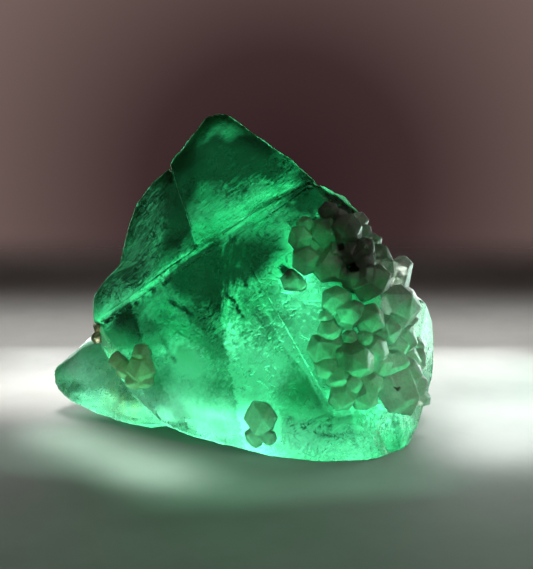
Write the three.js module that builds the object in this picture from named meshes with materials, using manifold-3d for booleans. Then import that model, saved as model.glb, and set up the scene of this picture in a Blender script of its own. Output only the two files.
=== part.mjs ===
// Quartz on fluorite: a green cleaved fluorite piece with stubby quartz crystals grown on it.
// Millimetres, +X to the right of the show face, +Y to the far side, +Z up.
// The show face looks along -Y. The foot is flat at z = 0.
import * as THREE from 'three';
import Module from 'manifold-3d';
import { ConvexGeometry } from 'three/addons/geometries/ConvexGeometry.js';
import { mergeVertices } from 'three/addons/utils/BufferGeometryUtils.js';

// ---- Sizes that drive the shape ---------------------------------------------------------

// Clear gap between a quartz foot and the fluorite face under it.
const SEAT_GAP = 0.3;
// How far the root of a quartz crystal starts under the fluorite face before it is cut back.
const ROOT_DEPTH = 1.2;
// Width of a quartz crystal's buried root against its width higher up.
const ROOT_FLARE = 1.3;
// A quartz crystal's low point, against its radius: its height, how far it stands off the
// middle, and how much lower every second shoulder sits.
const POINT_HEIGHT = 0.62;
const POINT_ASIDE = 0.1;
const SHOULDER_DROP = 0.14;
// Share of a quartz crystal's height from its root to the middle that the eye sees.
const SEEN_MIDDLE = 0.45;
// How far quartz crystals lean away from the face that they grow on, as a slope.
const LEAN_SPREAD = 0.3;
// How much quartz crystals differ in height within a cluster.
const HEIGHT_SWING = 0.16;
// The turn from one crystal to the next that never lines up, in degrees.
const GOLDEN_TURN = 137.5;
// Slope towards the eye under which a face counts as seen edge-on.
const EDGE_ON = 0.25;
// How much a place past the outline is drawn in towards the middle at each try.
const DRAW_IN = 0.99;
// Height of the narrow bright ridge over the faces on either side of it.
const RIDGE_RISE = 0.35;
// Thickness of the raised growth plate on the front right face.
const PLATE_RISE = 0.4;
// Depth that blocks and plates are rooted in the body.
const PLATE_ROOT = 2.5;

const FLUORITE = { color: 0x1c9b57, roughness: 0.28, metalness: 0 };
const QUARTZ = { color: 0x7c9880, roughness: 0.42, metalness: 0 };
const SMOKY = { color: 0x5a5348, roughness: 0.4, metalness: 0 };

// Corner points of the fluorite's grown-together blocks. Each block is the closed faceted
// solid that spans its corners.
const BLOCKS = {
  upper: {
    apexLeft: [-5.7, 9.1, 49.7],
    apexRight: [-2.3, 8.6, 50.2],
    leftLow: [-11.2, 5, 42.6],
    ridgeLeft: [-6.4, -7.2, 30.9],
    ridgeRight: [11.9, -4.6, 41.3],
    backPeak: [-3, 17.1, 44.5],
    backLeft: [-8.5, 16.1, 37],
    backRight: [9.5, 17.1, 36.5],
    innerLeft: [-7.5, 8.1, 24],
    innerFront: [0.5, -1.9, 24],
    innerRight: [13.5, 6.1, 30],
    innerBack: [2.5, 16.1, 24],
  },
  main: {
    ridgeLeft: [-22.5, -1, 17.6],
    ridgeKnee: [-1.1, -7.9, 32.3],
    ridgeFar: [3.5, -6.4, 36.3],
    ridgeRight: [11.2, -4.9, 40.6],
    topRightA: [12.4, -4.3, 40.4],
    cornerIn: [17.2, -7.9, 33.7],
    cornerTop: [18.4, -0.9, 35.5],
    rimHigh: [19.7, -9.7, 29.4],
    rimLow: [16.7, -16.3, 12.8],
    ledgeEnd: [14.3, -17.9, 8.6],
    sideHigh: [25.6, -3.9, 23.5],
    sideLow: [26.6, -6.4, 11],
    rimOut: [22.8, 0.1, 29.4],
    edge1: [27.1, 1.1, 21.5],
    edge3: [29.8, 2.1, 13.1],
    edge5: [30, 0.1, 4.5],
    edge6: [28.5, -3.9, 1.4],
    foot1: [26.4, -9.3, 0],
    foot2: [23.5, -13.8, 0],
    foot3: [19.9, -16, 0],
    foot4: [12.3, -16.8, 0],
    foot5: [5.5, -14.7, 0],
    foot6: [0.1, -10.7, 0],
    toe1: [15.9, -18.2, 6.6],
    toe2: [9.2, -16.2, 5.7],
    toe3: [0.1, -12.6, 4.4],
    under1: [-9.4, -8.4, 1.8],
    under2: [-11.8, -7.4, 2.6],
    cut1: [-16.5, -4, 19],
    cut2: [-12.5, -6.4, 9.8],
    left1: [-23, 1.6, 13.2],
    left2: [-17.5, -2.9, 6.2],
    shoulder1: [-14.1, 6.9, 38.1],
    kneeBack: [-6.1, -7, 30.4],
    back1: [-14.5, 17.1, 26],
    back2: [-8.5, 16.1, 37],
    back3: [6.5, 18.1, 37],
    back4: [17.5, 16.1, 35],
    back5: [26.5, 11.1, 18],
    back6: [27, 12.1, 8],
    back7: [17.5, 16.6, 0],
    back8: [3.5, 17.6, 0],
    back9: [-9.5, 16.1, 2.2],
    back10: [-18.5, 14.1, 12],
  },
  shoulder: {
    top1: [-11.3, 6.1, 41.7],
    top2: [-14, 6.9, 39.4],
    mid1: [-16.8, 6.5, 35.4],
    mid2: [-18, 4.6, 31.3],
    low1: [-18.5, 2, 27.2],
    in1: [-8.5, 1.2, 38.7],
    in2: [-6.6, -6.4, 30.9],
    in3: [-22, -1.1, 18.6],
    back1: [-13, 15.1, 36],
    back2: [-15.5, 16.1, 30],
    back3: [-18.5, 14.1, 16],
    inner: [-7.5, 2.1, 20],
    inner2: [-11.5, 12.1, 14],
  },
  bulge: {
    top1: [-18.7, 2.1, 27.2],
    top2: [-21.1, -0.9, 25.1],
    top3: [-22.8, -0.4, 23],
    left1: [-23.8, 0.1, 21.8],
    left2: [-23.9, -0.7, 17.7],
    front1: [-14, -1.6, 27.7],
    front2: [-15.7, -3.5, 23.4],
    front3: [-22, -1.3, 18.4],
    back1: [-19.5, 12.1, 24],
    back2: [-22, 11.1, 20],
    back3: [-22, 11.1, 13],
    inner: [-11.5, 6.1, 14],
    inner2: [-13.5, 0.1, 16],
  },
  flank: {
    top: [27.3, 1.6, 21.9],
    topOut: [30.2, 3.6, 19.7],
    side1: [31.6, 5.1, 16.5],
    side2: [31.8, 4.6, 12.4],
    side3: [31.1, 2.1, 7.6],
    side4: [30.1, 0.1, 4.7],
    side5: [28.5, -3.7, 1.5],
    front1: [26, -1.9, 21.6],
    front2: [26.7, -5.4, 10.7],
    front3: [26.7, -7.9, 6.1],
    inner1: [18.5, 0.1, 30],
    inner2: [18.5, -1.9, 4],
    back1: [22.5, 12.1, 24],
    back2: [28, 11.1, 19],
    back3: [28, 11.1, 8],
    back4: [20.5, 12.1, 4],
  },
  rear: {
    tip1: [-31.9, 8.1, 6.9],
    tip2: [-31.6, 7.1, 4.9],
    tipFoot: [-28.5, 4.6, 2.9],
    edgeTop: [-27.3, 5.1, 11],
    edgeFoot: [-27.2, 2.6, 3],
    top1: [-26.1, 6.6, 11.8],
    foot1: [-23.1, 1.1, 1.6],
    foot2: [-18, -1.4, 0.6],
    foot3: [-14.7, -1.2, 0],
    foot4: [-11.8, -4.9, 1.8],
    inFront: [-9.5, -0.9, 12],
    inTop: [-11.5, 6.1, 18],
    inFoot: [-5.5, 2.1, 0],
    backTip: [-29, 12.1, 6.5],
    backTop: [-23.5, 14.1, 13.5],
    back1: [-13.5, 17.1, 12],
    back2: [-8.5, 16.6, 0],
    back3: [-16.5, 16.1, 0],
    back4: [-25.5, 13.6, 2.5],
  },
};

// The narrow ridge between the upper and the lower front faces: [x, y, z] along its upper
// line and along its lower line, from left to right.
const RIDGE_UPPER = [[-22.4, -0.9, 18.5], [-6.4, -7.2, 30.9], [3.5, -5.9, 37.2], [11.9, -4.6, 41.3]];
const RIDGE_LOWER = [[-22.1, -1.2, 17.4], [-4, -7.7, 30.9], [4.7, -6.6, 35.9], [11.1, -4.9, 40.4]];
// Mean outward direction of the ridge.
const RIDGE_OUT = [-0.2, -0.86, 0.47];

// Outline of the raised growth plate on the front right face.
const PLATE = [
  [0.9, -8.9, 30.1], [7.4, -12.9, 19.2], [13.5, -17.5, 9.6], [16.2, -16.3, 12.4],
  [17.9, -11.3, 24.6], [13.1, -9.9, 28.2], [6.3, -8.3, 32.3],
];
const PLATE_OUT = [0.03, -0.93, 0.37];

// Shell-shaped chips: centre and radius of each ball that is scooped out.
const SCOOPS = [
  { name: 'crescent', at: [10.8, -10.7, 38.2], radius: 4.4 },
  { name: 'lens', at: [18.5, -32.9, 5.4], radius: 16 },
  { name: 'toe', at: [32.5, -22.3, 4.8], radius: 14 },
  { name: 'shoulderBite', at: [-24.3, -5.3, 33.4], radius: 8 },
  { name: 'farBite', at: [-16.7, 23.9, 30.8], radius: 9.4 },
  { name: 'farScoop', at: [21.9, 30.3, 12.4], radius: 15.4 },
  { name: 'apexNick', at: [-9.7, 7.5, 49.2], radius: 2.6 },
];

// Cleavage steps on the far side: corners of each wedge that is split away.
const SPLITS = {
  farUpper: [
    [-7.1, 15.2, 50], [8.9, 16.5, 50], [10.9, 15.7, 33.6], [-6.5, 14.9, 31.8],
    [-9.1, 23.3, 50], [11.9, 23.3, 50], [12.9, 23.3, 32.4], [-8.1, 23.3, 30.6],
  ],
  farMiddle: [
    [-3.7, 16.7, 28.4], [18.9, 14.9, 30.4], [21.3, 14.5, 18.4], [-1.3, 16.5, 16.4],
    [-4.1, 23.3, 28.8], [19.9, 23.3, 31], [22.5, 23.3, 18], [-1.5, 23.3, 16],
  ],
  farFoot: [
    [-19.1, 14.5, 9], [-4.3, 16.1, 10.4], [-2.3, 15.7, -1], [-18.1, 13.3, -1],
    [-20.1, 23.3, 9.4], [-3.7, 23.3, 10.8], [-1.9, 23.3, -1], [-19.1, 23.3, -1],
  ],
};

// Quartz is placed as it is seen: the eye looks at the middle of the piece from EYE_DISTANCE
// away, at a side's bearing and lean in degrees. Bearing 0 is along -Y and 90 along +X, and
// lean is the rise over the level.
const MIDDLE = new THREE.Vector3(4.3, -1.2, 24.1);
const EYE_DISTANCE = 212;
const SHOW_SIDE = { bearing: 0, lean: 13 };
const LEFT_SIDE = { bearing: -72, lean: 10 };
const FAR_SIDE = { bearing: 180, lean: 0 };

// Quartz clusters, each one node: `out` is the way that its seat is cut clear of the fluorite,
// `slender` a crystal's height against its radius, and each row of `crystals` one crystal's
// place as seen and its size, [across, up, radius]. The `leaning` crystals grew at an angle of
// their own, `proud` of the face.
const CLUSTERS = [
  {
    name: 'quartz_upper', finish: SMOKY, side: SHOW_SIDE, out: [0.35, -0.8, 0.48], slender: 1.28,
    crystals: [
      [9.7, 11.5, 1.5], [11.6, 10.7, 1.4], [14.9, 10.2, 1.3], [5.9, 9.2, 1.3], [13, 8.8, 2.3],
      [9.1, 8.1, 2.4], [15.7, 8.1, 1.3], [5.5, 7.5, 1.9], [16.8, 6.6, 1.4], [7.5, 6.1, 1.4],
      [12.7, 5.5, 2.3], [15.7, 5.6, 1.6], [11.1, 5.1, 1.7], [8.1, 4.3, 1.4], [18.1, 4.3, 2.1],
      [6.2, 4, 2.1], [15.1, 3.2, 1.6], [9.9, 2.8, 2.4], [19.4, 2.6, 1.9], [18.7, 2.3, 1.7],
      [15.6, 1.7, 1.4], [11.6, 1.5, 1.3], [13.8, 0.6, 1.9], [20.7, 1, 1.6], [17.3, 0.2, 2.4],
    ],
    leaning: [{ seen: [20, 0.1, 1.6], height: 4.4, bearing: 38, lean: 70, proud: 0.7 }],
  },
  {
    name: 'quartz_lower', finish: QUARTZ, side: SHOW_SIDE, out: [0.6, -0.75, 0.27], slender: 1.18,
    crystals: [
      [21.7, -2.1, 1.4], [11.1, -2.8, 2.3], [14, -3.9, 1.4], [12.6, -5.1, 2], [9.6, -5.3, 1.3],
      [22.4, -5.3, 1.9], [16.7, -5.8, 2.3], [10, -7.3, 1.8], [19.2, -7.5, 2.2], [13.2, -8.5, 1.2],
      [22, -8.6, 2.4], [15.7, -8.8, 1.3], [10.7, -9.2, 1.3], [23.6, -9.9, 1.7], [8.8, -10.3, 2.3],
      [17.3, -10.3, 2.2], [20.8, -10.3, 1.7], [11.9, -11, 1.3], [22.9, -11.9, 2],
      [23.8, -12, 2],
      [14.8, -12.1, 2.5], [20.5, -12.6, 2.2], [18.1, -13, 2.1], [9.4, -13.2, 1.8],
      [13, -13.5, 1.6], [22.8, -14.1, 2.2], [11.3, -14.9, 1.9], [20.8, -14.9, 1.9],
      [17, -15.6, 1.7], [13.5, -15.9, 1.6], [22.2, -16, 1.8], [23.2, -15.7, 1.9],
      [24, -16.2, 1.8],
    ],
    leaning: [
      { seen: [20.1, -3.9, 3.2], height: 4.2, bearing: 30, lean: 35, proud: 0 },
      { seen: [15.1, -17.1, 2.1], height: 2.9, bearing: 18, lean: -30, proud: 0 },
      { seen: [11.9, -17.6, 2], height: 2.5, bearing: -8, lean: -22, proud: 0 },
      { seen: [19.5, -16.2, 2.8], height: 4.5, bearing: 44, lean: -50, proud: 0.9 },
      { seen: [23.6, -17.6, 1.2], height: 2.2, bearing: 60, lean: -30, proud: 0.3 },
    ],
  },
  {
    name: 'quartz_single', finish: QUARTZ, side: SHOW_SIDE, out: [0, -0.93, 0.37], slender: 0.95,
    crystals: [[4, 0.6, 1.7], [5.3, -0.2, 1.1]],
    leaning: [],
  },
  {
    name: 'quartz_bottom', finish: QUARTZ, side: SHOW_SIDE, out: [-0.35, -0.93, 0], slender: 0.57,
    crystals: [[-0.9, -21.4, 2.8], [-2.3, -24.1, 2.1], [0.1, -24.7, 1.6]],
    leaning: [],
  },
  {
    name: 'quartz_left', finish: QUARTZ, side: SHOW_SIDE, out: [-0.6, -0.8, 0], slender: 0.85,
    crystals: [
      [-20.1, -11.1, 1.6], [-24.1, -12.4, 1.7], [-20.3, -13.7, 2.4], [-22.8, -13.8, 1.6],
      [-21.4, -15.4, 1.7], [-19.4, -15.4, 1.6],
    ],
    leaning: [],
  },
  {
    name: 'quartz_edge', finish: SMOKY, side: LEFT_SIDE, out: [-0.8, -0.4, 0.45], slender: 1.5,
    crystals: [[-14, -14, 1.3], [-15.1, -16.1, 1.2], [-12.5, -15.5, 1]],
    leaning: [],
  },
  {
    name: 'quartz_back', finish: SMOKY, side: FAR_SIDE, out: [0.2, 0.95, 0.2], slender: 1.6,
    crystals: [
      [-6, 5.6, 1.7], [-10, 5.4, 2.1], [-13.5, 5.2, 1.8], [-11.8, 3.4, 1.8], [-7.4, 3, 2.2],
      [-9.6, 1.2, 2.4], [-13.1, 1.4, 1.8], [-8.1, -1, 1.8], [-11.6, -1.3, 2],
    ],
    leaning: [],
  },
  {
    name: 'quartz_rear', finish: QUARTZ, side: FAR_SIDE, out: [-0.2, 0.95, -0.1], slender: 1.05,
    crystals: [[12, -14.5, 1.3], [9.2, -15.9, 1.2], [13.4, -16.5, 1.5], [10.9, -17.4, 1.7]],
    leaning: [],
  },
];

// ---- Solids -----------------------------------------------------------------------------

const wasm = await Module();
wasm.setup();

// A closed three.js geometry as a manifold solid.
function solidOf(geometry) {
  const bare = new THREE.BufferGeometry();
  bare.setAttribute('position', geometry.getAttribute('position'));
  if (geometry.index) bare.setIndex(geometry.index);
  const merged = mergeVertices(bare, 1e-4);
  const mesh = new wasm.Mesh({
    numProp: 3,
    vertProperties: new Float32Array(merged.attributes.position.array),
    triVerts: new Uint32Array(merged.index.array),
  });
  return new wasm.Manifold(mesh);
}

// The faceted solid that spans a list of corner points.
function spanOf(corners) {
  const points = corners.map((corner) => new THREE.Vector3(...corner));
  return solidOf(new ConvexGeometry(points));
}

// All the solids of a list joined into one.
function joinAll(solids) {
  return solids.reduce((joined, solid) => joined.add(solid));
}

// The points of a list moved along a direction.
function shifted(points, direction, distance) {
  return points.map((point) => point.map((value, axis) => value + direction[axis] * distance));
}

// A plate over an outline: raised by `rise`, rooted in the body by PLATE_ROOT.
function plateOf(outline, direction, rise) {
  const top = shifted(outline, direction, rise);
  const root = shifted(outline, direction, -PLATE_ROOT);
  return spanOf([...top, ...root]);
}

// The narrow ridge, one length of it at a time so that it can bend.
function ridgeSolid() {
  const lengths = [];
  for (let i = 0; i + 1 < RIDGE_UPPER.length; i += 1) {
    const outline = [RIDGE_UPPER[i], RIDGE_UPPER[i + 1], RIDGE_LOWER[i], RIDGE_LOWER[i + 1]];
    lengths.push(plateOf(outline, RIDGE_OUT, RIDGE_RISE));
  }
  return joinAll(lengths);
}

// A ball for a shell-shaped chip.
function ballOf({ at, radius }) {
  const ball = new THREE.IcosahedronGeometry(radius, 5);
  ball.translate(...at);
  return solidOf(ball);
}

// The whole fluorite piece: blocks, ridge and plate joined, then chips and splits cut away.
function fluoriteSolid() {
  const blocks = Object.values(BLOCKS).map((corners) => spanOf(Object.values(corners)));
  const plate = plateOf(PLATE, PLATE_OUT, PLATE_RISE);
  const grown = joinAll([...blocks, ridgeSolid(), plate]);
  const chips = joinAll(SCOOPS.map(ballOf));
  const splits = joinAll(Object.values(SPLITS).map(spanOf));
  return grown.subtract(chips).subtract(splits);
}

// Unit vector for a bearing and a lean in degrees.
function directionOf(bearing, lean) {
  const turn = THREE.MathUtils.degToRad(bearing);
  const rise = THREE.MathUtils.degToRad(lean);
  const level = Math.cos(rise);
  return new THREE.Vector3(Math.sin(turn) * level, -Math.cos(turn) * level, Math.sin(rise));
}

// The sight line from a side's eye through the point that is seen `across` and `up` from the
// middle of the piece.
function sightLine({ bearing, lean }, across, up) {
  const toEye = directionOf(bearing, lean);
  const rightward = directionOf(bearing + 90, 0);
  const upward = directionOf(bearing, lean + 90);
  const seen = MIDDLE.clone().addScaledVector(rightward, across).addScaledVector(upward, up);
  const eye = MIDDLE.clone().addScaledVector(toEye, EYE_DISTANCE);
  return new THREE.Raycaster(eye, seen.sub(eye).normalize());
}

// Where a crystal that is seen at a place has its root: the point of the body's face on that
// sight line, and the face's outward direction. A place just past the outline is drawn in
// towards the middle, a little at a time, until it lies on the body.
function seatOf(body, side, across, up) {
  const line = sightLine(side, across, up);
  const [hit] = line.intersectObject(body);
  if (!hit) return seatOf(body, side, across * DRAW_IN, up * DRAW_IN);
  return { at: hit.point, out: hit.face.normal, sight: line.ray.direction };
}

// A face's outward direction, turned towards the eye where the face is seen edge-on.
function facedOut(out, sight) {
  if (-out.dot(sight) >= EDGE_ON) return out;
  return out.clone().addScaledVector(sight, -EDGE_ON).normalize();
}

// One stubby six-sided quartz crystal at its root, pointing along `axis`. Its sides taper a
// little, every second shoulder sits lower, and its low point stands a little off the middle.
function crystalSolid(root, axis, radius, height, twist) {
  const corners = [];
  const around = (reach, degrees, level) => {
    const angle = THREE.MathUtils.degToRad(degrees);
    return new THREE.Vector3(reach * Math.cos(angle), reach * Math.sin(angle), level);
  };
  const shoulder = height - (radius * POINT_HEIGHT) / 2;
  for (let side = 0; side < 6; side += 1) {
    const drop = side % 2 === 0 ? 0 : radius * SHOULDER_DROP;
    corners.push(around(radius * ROOT_FLARE, twist + side * 60, -ROOT_DEPTH));
    corners.push(around(radius, twist + side * 60, shoulder - drop));
  }
  corners.push(around(radius * POINT_ASIDE, twist + 30, shoulder + radius * POINT_HEIGHT));
  const geometry = new ConvexGeometry(corners);
  const stand = new THREE.Quaternion();
  stand.setFromUnitVectors(new THREE.Vector3(0, 0, 1), axis);
  geometry.applyQuaternion(stand);
  geometry.translate(root.x, root.y, root.z);
  return solidOf(geometry);
}

// A crystal that stands on the face where it is seen. The leans and heights follow its number
// in the cluster, so that no two neighbours are alike.
function standingCrystal(body, { side, slender }, [across, up, radius], number) {
  const { at, out, sight } = seatOf(body, side, across, up);
  const face = facedOut(out, sight);
  const turn = THREE.MathUtils.degToRad(number * GOLDEN_TURN);
  const height = radius * slender * (1 + HEIGHT_SWING * Math.sin(2 * turn));
  const axis = face.clone();
  axis.addScaledVector(directionOf(side.bearing + 90, 0), LEAN_SPREAD * Math.cos(turn));
  axis.addScaledVector(directionOf(side.bearing, 90), LEAN_SPREAD * Math.sin(turn));
  const rise = height * SEEN_MIDDLE;
  const root = at.clone().addScaledVector(sight, rise / face.dot(sight)).addScaledVector(face, -rise);
  return crystalSolid(root, axis.normalize(), radius, height, number * GOLDEN_TURN);
}

// A crystal that grew at an angle of its own.
function leaningCrystal(body, { side }, { seen, height, bearing, lean, proud }) {
  const [across, up, radius] = seen;
  const { at, out } = seatOf(body, side, across, up);
  return crystalSolid(at.addScaledVector(out, proud), directionOf(bearing, lean), radius, height, 0);
}

// All the crystals of a cluster grown together.
function clusterSolid(body, cluster) {
  const standing = cluster.crystals.map((row, number) => standingCrystal(body, cluster, row, number));
  const leaning = cluster.leaning.map((crystal) => leaningCrystal(body, cluster, crystal));
  return joinAll([...standing, ...leaning]);
}

// A solid cut back clear of another one, with the gap opened along a direction.
function clearOf(solid, other, direction) {
  const moved = other.translate(direction.map((value) => value * SEAT_GAP));
  return solid.subtract(other).subtract(moved);
}

// The largest body of a solid, without the splinters that a cut leaves.
function largestOf(solid) {
  return solid.decompose().reduce((kept, body) => (body.volume() > kept.volume() ? body : kept));
}

// A manifold solid as a three.js mesh with flat faces.
function meshOf(name, solid, finish) {
  const data = solid.getMesh();
  const geometry = new THREE.BufferGeometry();
  const positions = new THREE.BufferAttribute(new Float32Array(data.vertProperties), 3);
  geometry.setAttribute('position', positions);
  geometry.setIndex(new THREE.BufferAttribute(new Uint32Array(data.triVerts), 1));
  geometry.computeVertexNormals();
  const material = new THREE.MeshStandardMaterial({ ...finish, flatShading: true });
  const mesh = new THREE.Mesh(geometry, material);
  mesh.name = name;
  return mesh;
}

// ---- Scene graph ------------------------------------------------------------------------

const group = new THREE.Group();
group.name = 'quartz_on_fluorite';
const fluorite = fluoriteSolid();
const body = meshOf('fluorite', fluorite, FLUORITE);
group.add(body);
const grown = [];
for (const cluster of CLUSTERS) {
  const seatCut = new THREE.Vector3(...cluster.out).normalize().toArray();
  let solid = clearOf(clusterSolid(body, cluster), fluorite, seatCut);
  // Clusters that grew against each other part along a near-level joint.
  for (const earlier of grown) solid = clearOf(solid, earlier, [0, 0, -1]);
  solid = largestOf(solid);
  grown.push(solid);
  group.add(meshOf(cluster.name, solid, cluster.finish));
}

export default group;
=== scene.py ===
"""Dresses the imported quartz-on-fluorite specimen.

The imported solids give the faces, crystals and their places. This file refines copies of them
with growth marks, chips and worn edges, gives each mineral its finish, and sets up a plain
studio. Lengths inside the file are millimetres until a mesh is written out in metres.
"""

import logging
import math
from dataclasses import dataclass, field
from enum import Enum
from functools import reduce
from itertools import product
from typing import Callable, Iterable

import bpy
import numpy as np
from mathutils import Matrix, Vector


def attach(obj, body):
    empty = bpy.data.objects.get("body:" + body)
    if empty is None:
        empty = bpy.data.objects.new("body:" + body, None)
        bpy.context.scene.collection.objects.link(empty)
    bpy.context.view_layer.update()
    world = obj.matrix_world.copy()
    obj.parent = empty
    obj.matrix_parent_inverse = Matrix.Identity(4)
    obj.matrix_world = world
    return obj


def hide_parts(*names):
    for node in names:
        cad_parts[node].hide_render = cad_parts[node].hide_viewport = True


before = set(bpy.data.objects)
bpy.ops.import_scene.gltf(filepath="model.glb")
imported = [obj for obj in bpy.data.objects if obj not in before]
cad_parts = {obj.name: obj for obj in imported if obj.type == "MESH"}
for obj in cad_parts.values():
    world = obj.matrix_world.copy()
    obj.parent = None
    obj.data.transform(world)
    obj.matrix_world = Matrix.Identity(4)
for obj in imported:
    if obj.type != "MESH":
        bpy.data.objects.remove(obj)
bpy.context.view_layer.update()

log = logging.getLogger("specimen")
MM = 0.001
TINY = 1e-12  # keeps a division from failing
JOIN_STEPS_PER_MM = 2000.0  # corners closer than one step are the same corner
Span = tuple[float, float]
Point = tuple[float, float, float]
Path = tuple[Point, ...]
Colour = tuple[float, float, float, float]
Feed = bpy.types.NodeSocket | float | tuple
FLOAT, COLOUR = "NodeSocketFloat", "NodeSocketColor"


class Mark(Enum):
    """Values held on the corners of a mesh, by the names that the finishes read."""

    TONE = "tone"
    PALE = "pale"
    STAIN = "stain"
    FROST = "frost"
    FEATHER = "feather"
    FIBRE = "fibre"
    HAIR = "hair"
    SMOKE = "smoke"
    MILK_AND_GLINT = "milk_and_glint"
    BLACK_SPECKS_AND_HOLLOW_SHADE = "black_specks_and_hollow_shade"
    FACET = "facet"
    EDGE_HIGHLIGHT = "edge"
    SEAM_SHADE = "seam_shade"


# ---- Numbers in space -------------------------------------------------------------------


def direction(bearing: float, lean: float) -> np.ndarray:
    """Unit vector for a bearing (0 is -Y, 90 is +X) and a lean over the level, in degrees.

    Args:
        bearing: Turn round the upright axis.
        lean: Rise over the level.

    Returns:
        The unit vector.
    """
    turn, rise = math.radians(bearing), math.radians(lean)
    level = math.cos(rise)
    return np.array([math.sin(turn) * level, -math.cos(turn) * level, math.sin(rise)])


def smooth(value: np.ndarray, low: float, high: float) -> np.ndarray:
    """A soft step: 0 at low, 1 at high, with level ends (3t^2 - 2t^3).

    Args:
        value: Where on the step each point is.
        low: Value at which the step starts.
        high: Value at which the step ends; it may be below low for a falling step.

    Returns:
        The height of the step at each point.
    """
    t = np.clip((value - low) / (high - low), 0.0, 1.0)
    return t * t * (3.0 - 2.0 * t)


def bell(points: np.ndarray, centre: Point, radii: Point) -> np.ndarray:
    """A soft round hill: exp(-r^2), with r the distance from the centre in radii.

    Args:
        points: Points, one a row.
        centre: Middle of the hill.
        radii: Size of the hill along X, Y and Z.

    Returns:
        The height of the hill at each point, from 0 to 1.
    """
    away = (points - np.array(centre)) / np.array(radii)
    return np.exp(-(away * away).sum(1))


def path_distance(points: np.ndarray, path: Path) -> np.ndarray:
    """Distance from each point to a bent line.

    Each straight length is taken in turn: the foot of the point on it is the projection held
    between its two ends, and the nearest foot of all lengths counts.

    Args:
        points: Points, one a row.
        path: Corners of the line.

    Returns:
        The distances.
    """
    nearest = np.full(len(points), np.inf)
    corners = np.array(path, float)
    for start, end in zip(corners[:-1], corners[1:]):
        run = end - start
        share = np.clip((points - start) @ run / (run @ run), 0.0, 1.0)
        gap = np.linalg.norm(points - start - share[:, None] * run, axis=1)
        nearest = np.minimum(gap, nearest)
    return nearest


def near_path(points: np.ndarray, path: Path, width: float) -> np.ndarray:
    """A soft band along a bent line: exp(-(distance / width)^2).

    Args:
        points: Points, one a row.
        path: Corners of the line.
        width: Distance at which the band has faded to about a third.

    Returns:
        The height of the band at each point, from 0 to 1.
    """
    return np.exp(-((path_distance(points, path) / width) ** 2))


def path_side(points: np.ndarray, path: Path) -> np.ndarray:
    """Signed distance from a bent line seen from the front: above zero right of it.

    For each straight length the side is the cross product of its run with the way to the
    point, both on the XZ plane, and the nearest length counts.

    Args:
        points: Points, one a row.
        path: Corners of the line, from its upper to its lower end.

    Returns:
        The signed distances on the XZ plane.
    """
    flat = points[:, [0, 2]]
    corners = np.array(path, float)[:, [0, 2]]
    nearest = np.full(len(points), np.inf)
    signed = np.zeros(len(points))
    for start, end in zip(corners[:-1], corners[1:]):
        run, away = end - start, flat - start
        share = np.clip(away @ run / (run @ run), 0.0, 1.0)
        gap = np.linalg.norm(away - share[:, None] * run, axis=1)
        side = np.sign(away[:, 1] * run[0] - away[:, 0] * run[1])
        signed = np.where(gap < nearest, gap * side, signed)
        nearest = np.minimum(gap, nearest)
    return signed


CELL_FACTORS = (73856093, 19349663, 83492791)
SEED_FACTOR = 2654435761
FOLDS = ((13, 1274126177), (16, 2246822519))
ALL_BITS = 0xFFFFFFFF


def scatter(cells: np.ndarray, seed: int) -> np.ndarray:
    """A fixed scattered number from 0 to 1 for each whole-numbered cell.

    The three cell numbers are multiplied by large odd numbers, mixed bit by bit with the seed
    and folded to 32 bits.

    Args:
        cells: Whole-numbered cell corners, the last axis being X, Y, Z.
        seed: Another seed gives other numbers.

    Returns:
        One number for each cell.
    """
    x, y, z = (cells[..., axis] * factor for axis, factor in enumerate(CELL_FACTORS))
    mixed = (x ^ y ^ z ^ (seed * SEED_FACTOR)) & ALL_BITS
    for shift, factor in FOLDS:
        mixed = ((mixed ^ (mixed >> shift)) * factor) & ALL_BITS
    return ((mixed ^ (mixed >> 15)) & ALL_BITS) / ALL_BITS


def waves(points: np.ndarray, size: float, seed: int) -> np.ndarray:
    """Soft random waves from -1 to 1: scattered corner numbers blended smoothly between.

    Args:
        points: Points, one a row.
        size: Width of one wave.
        seed: Another seed gives other waves.

    Returns:
        The height of the waves at each point.
    """
    place = points / size
    cell = np.floor(place).astype(np.int64)
    part = place - cell
    blend = part * part * (3.0 - 2.0 * part)
    total = np.zeros(len(points))
    for step in map(np.array, product((0, 1), repeat=3)):
        share = np.prod(np.where(step == 1, blend, 1.0 - blend), axis=1)
        total += share * scatter(cell + step, seed)
    return total * 2.0 - 1.0


LAYER_SHIFT = 17.3
LAYER_FALL = 0.52
ROUGH_GAIN = 1.5


@dataclass(frozen=True)
class Grain:
    """Waves on waves: each layer is half as wide and about half as high as the last.

    Attributes:
        size: Width of the widest waves.
        seed: Another seed gives other waves.
        layers: How many layers are summed.
    """

    size: float
    seed: int
    layers: int = 3

    def rough(self, points: np.ndarray) -> np.ndarray:
        """Height of the waves at each point, within about -1 to 1.

        Args:
            points: Points, one a row.

        Returns:
            The heights.
        """
        total = np.zeros(len(points))
        height, full = 1.0, 0.0
        for layer in range(self.layers):
            moved, width = points + LAYER_SHIFT * layer, self.size / 2.0**layer
            total += height * waves(moved, width, self.seed + layer)
            full += height
            height *= LAYER_FALL
        return total / full * ROUGH_GAIN

    def crests(self, points: np.ndarray) -> np.ndarray:
        """Sharp crests between hollows: one minus the height of the waves without sign."""
        return 1.0 - np.abs(self.rough(points))

    def stir(self, points: np.ndarray, reach: float) -> np.ndarray:
        """The points shifted by the waves, by up to about a reach along each axis."""
        return points + reach * self.rough(points)[:, None]


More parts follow.
